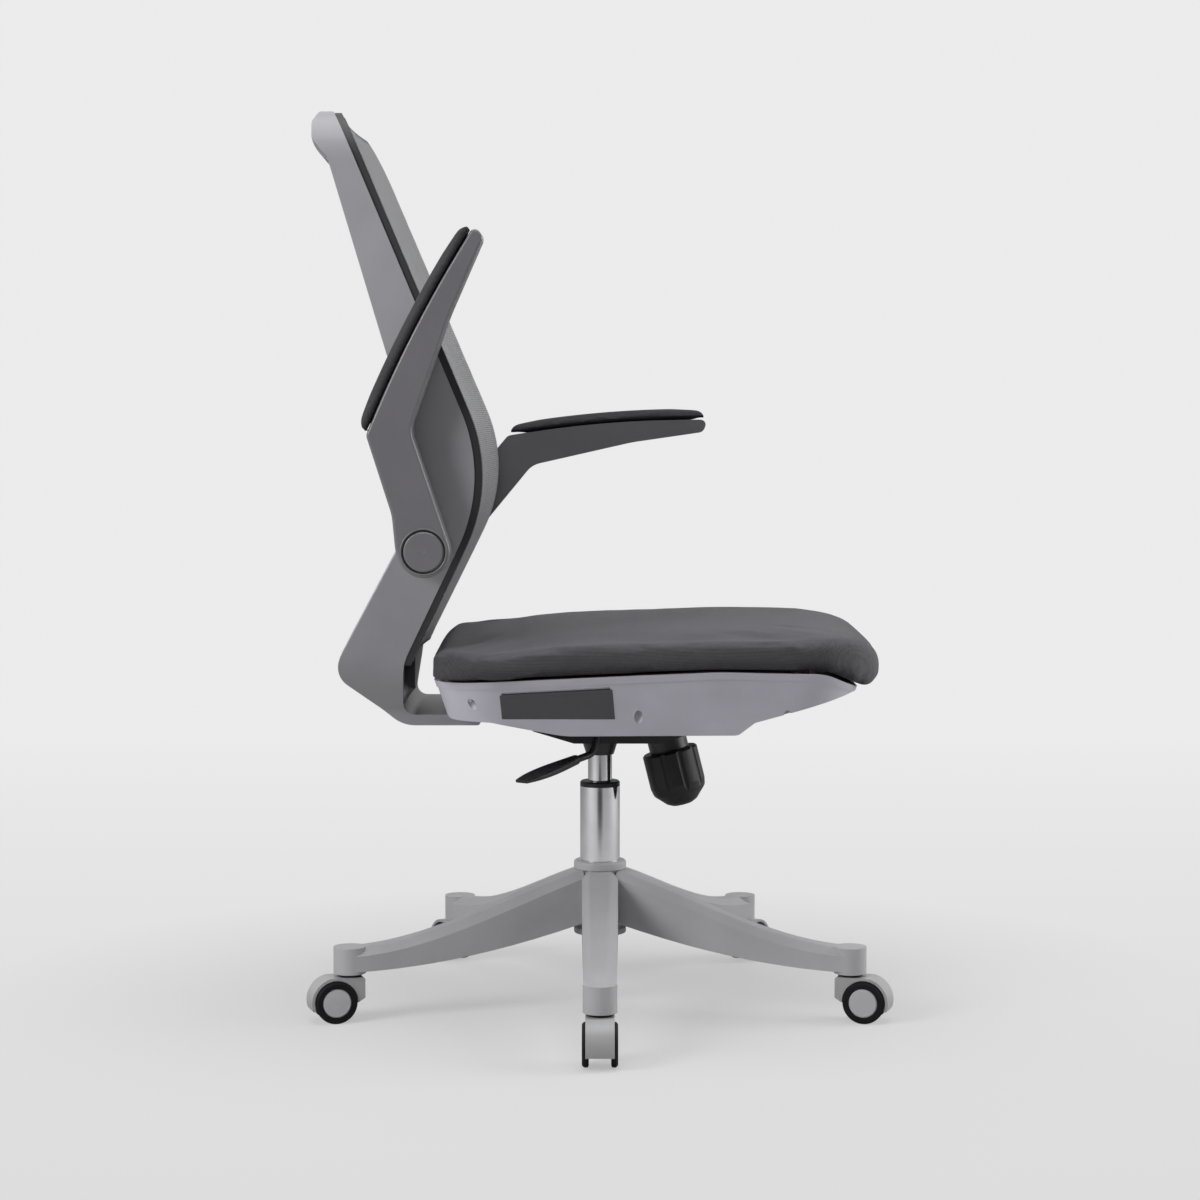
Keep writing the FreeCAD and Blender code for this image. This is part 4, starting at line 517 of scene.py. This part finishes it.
cushion = mergedCopy("seat_cushion", "seatCushion")
evenSkin(cushion, seatCushion["voxel"])
inflate(cushion, seatCushion, underPanRim)
settleTop(cushion, seatCushion)
fillNose(cushion, seatCushion)
drawnSeam(cushion, seatCushion)
shadeRim(cushion, "seat_pan", seatCushion)
finishSoft(cushion, seatCushion["smoothLevel"])
dress(cushion, "seat", "seat_fabric", "seat_cushion")
print("seat cushion:", len(cushion.data.vertices), "points")


# arm pads

armPad = {"voxel": 0.0035, "drawIn": 0.0012, "pressure": 5.0, "stiffness": 15.0, "cap": 0.0015,
          "rimReach": 0.006, "rimTuck": 0.0015, "smoothLevel": 1}

for word in ("right", "left"):
    pad = mergedCopy(word + "_arm_pad", word + "ArmPad")
    evenSkin(pad, armPad["voxel"])
    inflate(pad, armPad, lambda point: False)
    shadeRim(pad, word + "_arm", armPad)
    finishSoft(pad, armPad["smoothLevel"])
    dress(pad, word + "_arm", "pad_charcoal", word + "_arm_pad")
print("arm pads done")


# rings round the pivot caps: a black ring set in the gap as painted shade for its shadow, and a fine bead outside
# it

capRing = {"gapInner": 0.0216, "gapOuter": 0.0234, "beadAt": 0.0243, "beadRound": 0.0009, "beadSides": 8,
           "proud": 0.0002, "rooted": 0.0006, "steps": 72, "mergeWithin": 0.000005}


def turnedRing(name, section, centre):
    form = bmesh.new()
    loop = [form.verts.new(centre + Vector((reach, out, 0.0))) for reach, out in section]
    outline = [form.edges.new((loop[i - 1], loop[i])) for i in range(len(loop))]
    bmesh.ops.spin(form, geom=loop + outline, cent=centre, axis=(0.0, 1.0, 0.0), angle=2 * math.pi,
                   steps=capRing["steps"], use_merge=True)
    bmesh.ops.remove_doubles(form, verts=form.verts, dist=capRing["mergeWithin"])
    bmesh.ops.recalc_face_normals(form, faces=form.faces)
    mesh = bpy.data.meshes.new(name)
    form.to_mesh(mesh)
    form.free()
    for face in mesh.polygons:
        face.use_smooth = True
    ring = bpy.data.objects.new(name, mesh)
    scene.collection.objects.link(ring)
    return ring


for word, side in (("right", -1.0), ("left", 1.0)):
    low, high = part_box(word + "_pivot_cap")
    armLow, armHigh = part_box(word + "_arm")
    centre = Vector(((low[0] + high[0]) / 2, armLow[1] if side < 0 else armHigh[1], (low[2] + high[2]) / 2))
    top, root = side * capRing["proud"], -side * capRing["rooted"]
    gapShadeRing = turnedRing(word + "CapGapShade", [(capRing["gapInner"], root), (capRing["gapInner"], top),
                                       (capRing["gapOuter"], top), (capRing["gapOuter"], root)], centre)
    # the black ring stands in for the shadow in the gap round the cap
    dress(gapShadeRing, word + "_arm", "black_plastic")
    beadSection = []
    for step in range(capRing["beadSides"]):
        turn = step * 2 * math.pi / capRing["beadSides"]
        beadSection.append((capRing["beadAt"] + capRing["beadRound"] * math.cos(turn),
                            capRing["beadRound"] * math.sin(turn)))
    bead = turnedRing(word + "CapBead", beadSection, centre)
    dress(bead, word + "_arm", "arm_grey")
print("cap rings done")


# dark plates on the pan's flanks, laid on the wall round their recess

panInsert = {"corners": ((-0.1075, 0.3570), (0.0165, 0.3570), (0.0135, 0.3915), (-0.1095, 0.3850)),
             "reach": 0.004, "castFrom": 0.4, "levels": (0.370, 0.382), "proud": 0.0006, "thickness": 0.003,
             "edge": 0.0007, "edgeSteps": 2}

wall = surfaceOf(nodes["seat_pan"].data)
middleX = sum(x for x, z in panInsert["corners"]) / len(panInsert["corners"])
form = bmesh.new()
for side in (-1.0, 1.0):
    corners = []
    for x, z in panInsert["corners"]:
        beside = x + math.copysign(panInsert["reach"], x - middleX)
        outside = side * panInsert["castFrom"]
        lower, upper = [wall.ray_cast(Vector((beside, outside, level)), Vector((0.0, -side, 0.0)))[0]
                        for level in panInsert["levels"]]
        flank = lower.lerp(upper, (z - lower.z) / (upper.z - lower.z))
        corners.append(form.verts.new((x, flank.y + side * panInsert["proud"], z)))
    plate = form.faces.new(corners)
    plate.normal_update()
    if plate.normal.y * side < 0:
        plate.normal_flip()
plateMesh = bpy.data.meshes.new("panInserts")
form.to_mesh(plateMesh)
form.free()
inserts = bpy.data.objects.new("panInserts", plateMesh)
scene.collection.objects.link(inserts)
depth = inserts.modifiers.new("depth", "SOLIDIFY")
depth.thickness = panInsert["thickness"]
depth.offset = -1.0
edge = inserts.modifiers.new("edge", "BEVEL")
edge.width = panInsert["edge"]
edge.segments = panInsert["edgeSteps"]
dress(inserts, "seat", "dark_insert", "pan_inserts")
print("pan inserts:", len(plateMesh.polygons), "plates")


# back mesh: one sheet stretched over the carrier, cut to the node's outline and laid on its front

backMesh = {"cell": 0.014, "frontFrom": 0.2, "thickness": 0.0010, "cutWithin": 0.00001, "mergeWithin": 0.00005}

sheet = mergedCopy("back_mesh", "backMesh")
form = bmesh.new()
form.from_mesh(sheet.data)
behind = [face for face in form.faces if face.normal.x < backMesh["frontFrom"]]
bmesh.ops.delete(form, geom=behind, context="FACES")
low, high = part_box("back_mesh")
for axis, normal in ((1, (0, 1, 0)), (2, (0, 0, 1))):
    at = low[axis] + backMesh["cell"]
    while at < high[axis]:
        point = Vector((0, 0, 0))
        point[axis] = at
        bmesh.ops.bisect_plane(form, geom=form.verts[:] + form.edges[:] + form.faces[:], plane_co=point,
                               plane_no=normal, dist=backMesh["cutWithin"])
        at += backMesh["cell"]
bmesh.ops.remove_doubles(form, verts=form.verts, dist=backMesh["mergeWithin"])
form.to_mesh(sheet.data)
sheetArea = sum(face.calc_area() for face in form.faces)
form.free()
for face in sheet.data.polygons:
    face.use_smooth = True
thickness = sheet.modifiers.new("thread", "SOLIDIFY")
thickness.thickness = backMesh["thickness"]
thickness.offset = -1.0
dress(sheet, "seat", "mesh_grey", "back_mesh")
print("back mesh:", round(sheetArea, 4), "square metres")


# floor, world and lamps

studio = {"reach": 60.0, "nearTone": 0.72, "farTone": 0.835, "nearY": -0.9, "farY": 2.6,
          "shadowShare": 0.42, "shadowFrom": 0.34, "shadowTo": 0.8, "floorTone": 0.62, "floorRoughness": 0.9,
          "bounceTone": 0.55, "spotTone": 0.06, "spotY": -1.75, "spotInner": 0.25, "spotOuter": 0.65,
          "roomTone": (0.80, 0.80, 0.82), "worldStrength": 0.12, "mirrorStrength": 0.12, "wallFrom": -0.15,
          "wallTo": 0.35, "aimHeight": 0.55}


def backdropTone(tree):
    # pale ground that runs out into the background, without a line from the photograph's side
    depth = spanOf(tree, axesOf(tree, objectPoint(tree))["Y"], 0.0, 1.0, studio["nearY"], studio["farY"])
    return toneBetween(tree, depth, evenTone(studio["nearTone"]), evenTone(studio["farTone"]), 0.0, 1.0)


def groundTone(tree):
    # pale ground with a dark mat under the camera, which polished metal mirrors
    away = addNode(tree, "ShaderNodeVectorMath", operation="DISTANCE")
    away.inputs[1].default_value = (0.0, studio["spotY"], 0.0)
    tree.links.new(objectPoint(tree), away.inputs[0])
    fade = spanOf(tree, away.outputs["Value"], 0.0, 1.0, studio["spotInner"], studio["spotOuter"])
    return toneBetween(tree, fade, evenTone(studio["spotTone"]), evenTone(studio["bounceTone"]), 0.0, 1.0)


def shadowShare(tree):
    # only the ground round the casters takes shadows
    length = addNode(tree, "ShaderNodeVectorMath", operation="LENGTH")
    tree.links.new(objectPoint(tree), length.inputs[0])
    return spanOf(tree, length.outputs["Value"], studio["shadowShare"], 0.0, studio["shadowFrom"],
                  studio["shadowTo"])


form = bmesh.new()
bmesh.ops.create_grid(form, x_segments=2, y_segments=2, size=studio["reach"])
floorMesh = bpy.data.meshes.new("studioFloor")
form.to_mesh(floorMesh)
form.free()
studioFloor = bpy.data.objects.new("studioFloor", floorMesh)
scene.collection.objects.link(studioFloor)
floorMaterial, floorTree, floorShader = startMaterial("studioFloor", studio["floorRoughness"])
floorShader.inputs["Base Color"].default_value = (*evenTone(studio["floorTone"]), 1.0)
floorShader.inputs["Specular IOR Level"].default_value = 0.0
bounce = addNode(floorTree, "ShaderNodeBsdfDiffuse")
floorTree.links.new(groundTone(floorTree), bounce.inputs["Color"])
paper = addNode(floorTree, "ShaderNodeEmission", Strength=1.0)
floorTree.links.new(backdropTone(floorTree), paper.inputs["Color"])
seen = chosenShader(floorTree, shadowShare(floorTree), paper.outputs[0], floorShader.outputs[0])
whichRay = addNode(floorTree, "ShaderNodeLightPath").outputs
choice = chosenShader(floorTree, whichRay["Is Camera Ray"], bounce.outputs[0], seen)
floorTree.links.new(choice, floorTree.nodes["Material Output"].inputs["Surface"])
floorMesh.materials.append(floorMaterial)

world = bpy.data.worlds.new("studioWorld")
scene.world = world
world.use_nodes = True
worldTree = world.node_tree
roomLight = worldTree.nodes["Background"]
roomLight.inputs["Color"].default_value = (*studio["roomTone"], 1.0)
roomLight.inputs["Strength"].default_value = studio["worldStrength"]
darkRoom = addNode(worldTree, "ShaderNodeBackground", Strength=studio["mirrorStrength"])
paleWall = addNode(worldTree, "ShaderNodeBackground", Strength=1.0)
paleWall.inputs["Color"].default_value = (*evenTone(studio["farTone"]), 1.0)
whichRay = addNode(worldTree, "ShaderNodeLightPath").outputs
# mirrors see the pale wall behind the object and a dark room elsewhere
direction = axesOf(worldTree, addNode(worldTree, "ShaderNodeTexCoord").outputs["Generated"])
behind = spanOf(worldTree, direction["Y"], 0.0, 1.0, studio["wallFrom"], studio["wallTo"])
reflected = chosenShader(worldTree, behind, darkRoom.outputs[0], paleWall.outputs[0])
mirrored = chosenShader(worldTree, whichRay["Is Glossy Ray"], roomLight.outputs[0], reflected)
choice = chosenShader(worldTree, whichRay["Is Camera Ray"], mirrored, paleWall.outputs[0])
worldTree.links.new(choice, worldTree.nodes["World Output"].inputs["Surface"])

studioLamps = {
    "leftSoftbox": {"at": (-2.0, -1.5, 1.5), "size": 1.1, "watts": 46.0},
    "rightSoftbox": {"at": (2.4, 0.1, 1.2), "size": 1.6, "watts": 42.0},
    "overhead": {"at": (0.0, -0.4, 3.0), "size": 2.4, "watts": 52.0},
}

for name, lamp in studioLamps.items():
    data = bpy.data.lights.new(name, "AREA")
    data.shape = "SQUARE"
    data.size = lamp["size"]
    data.energy = lamp["watts"]
    light = bpy.data.objects.new(name, data)
    light.location = lamp["at"]
    aim = Vector((0.0, 0.0, studio["aimHeight"])) - light.location
    light.rotation_mode = "QUATERNION"
    light.rotation_quaternion = aim.to_track_quat("-Z", "Y")
    scene.collection.objects.link(light)
print("studio lit")
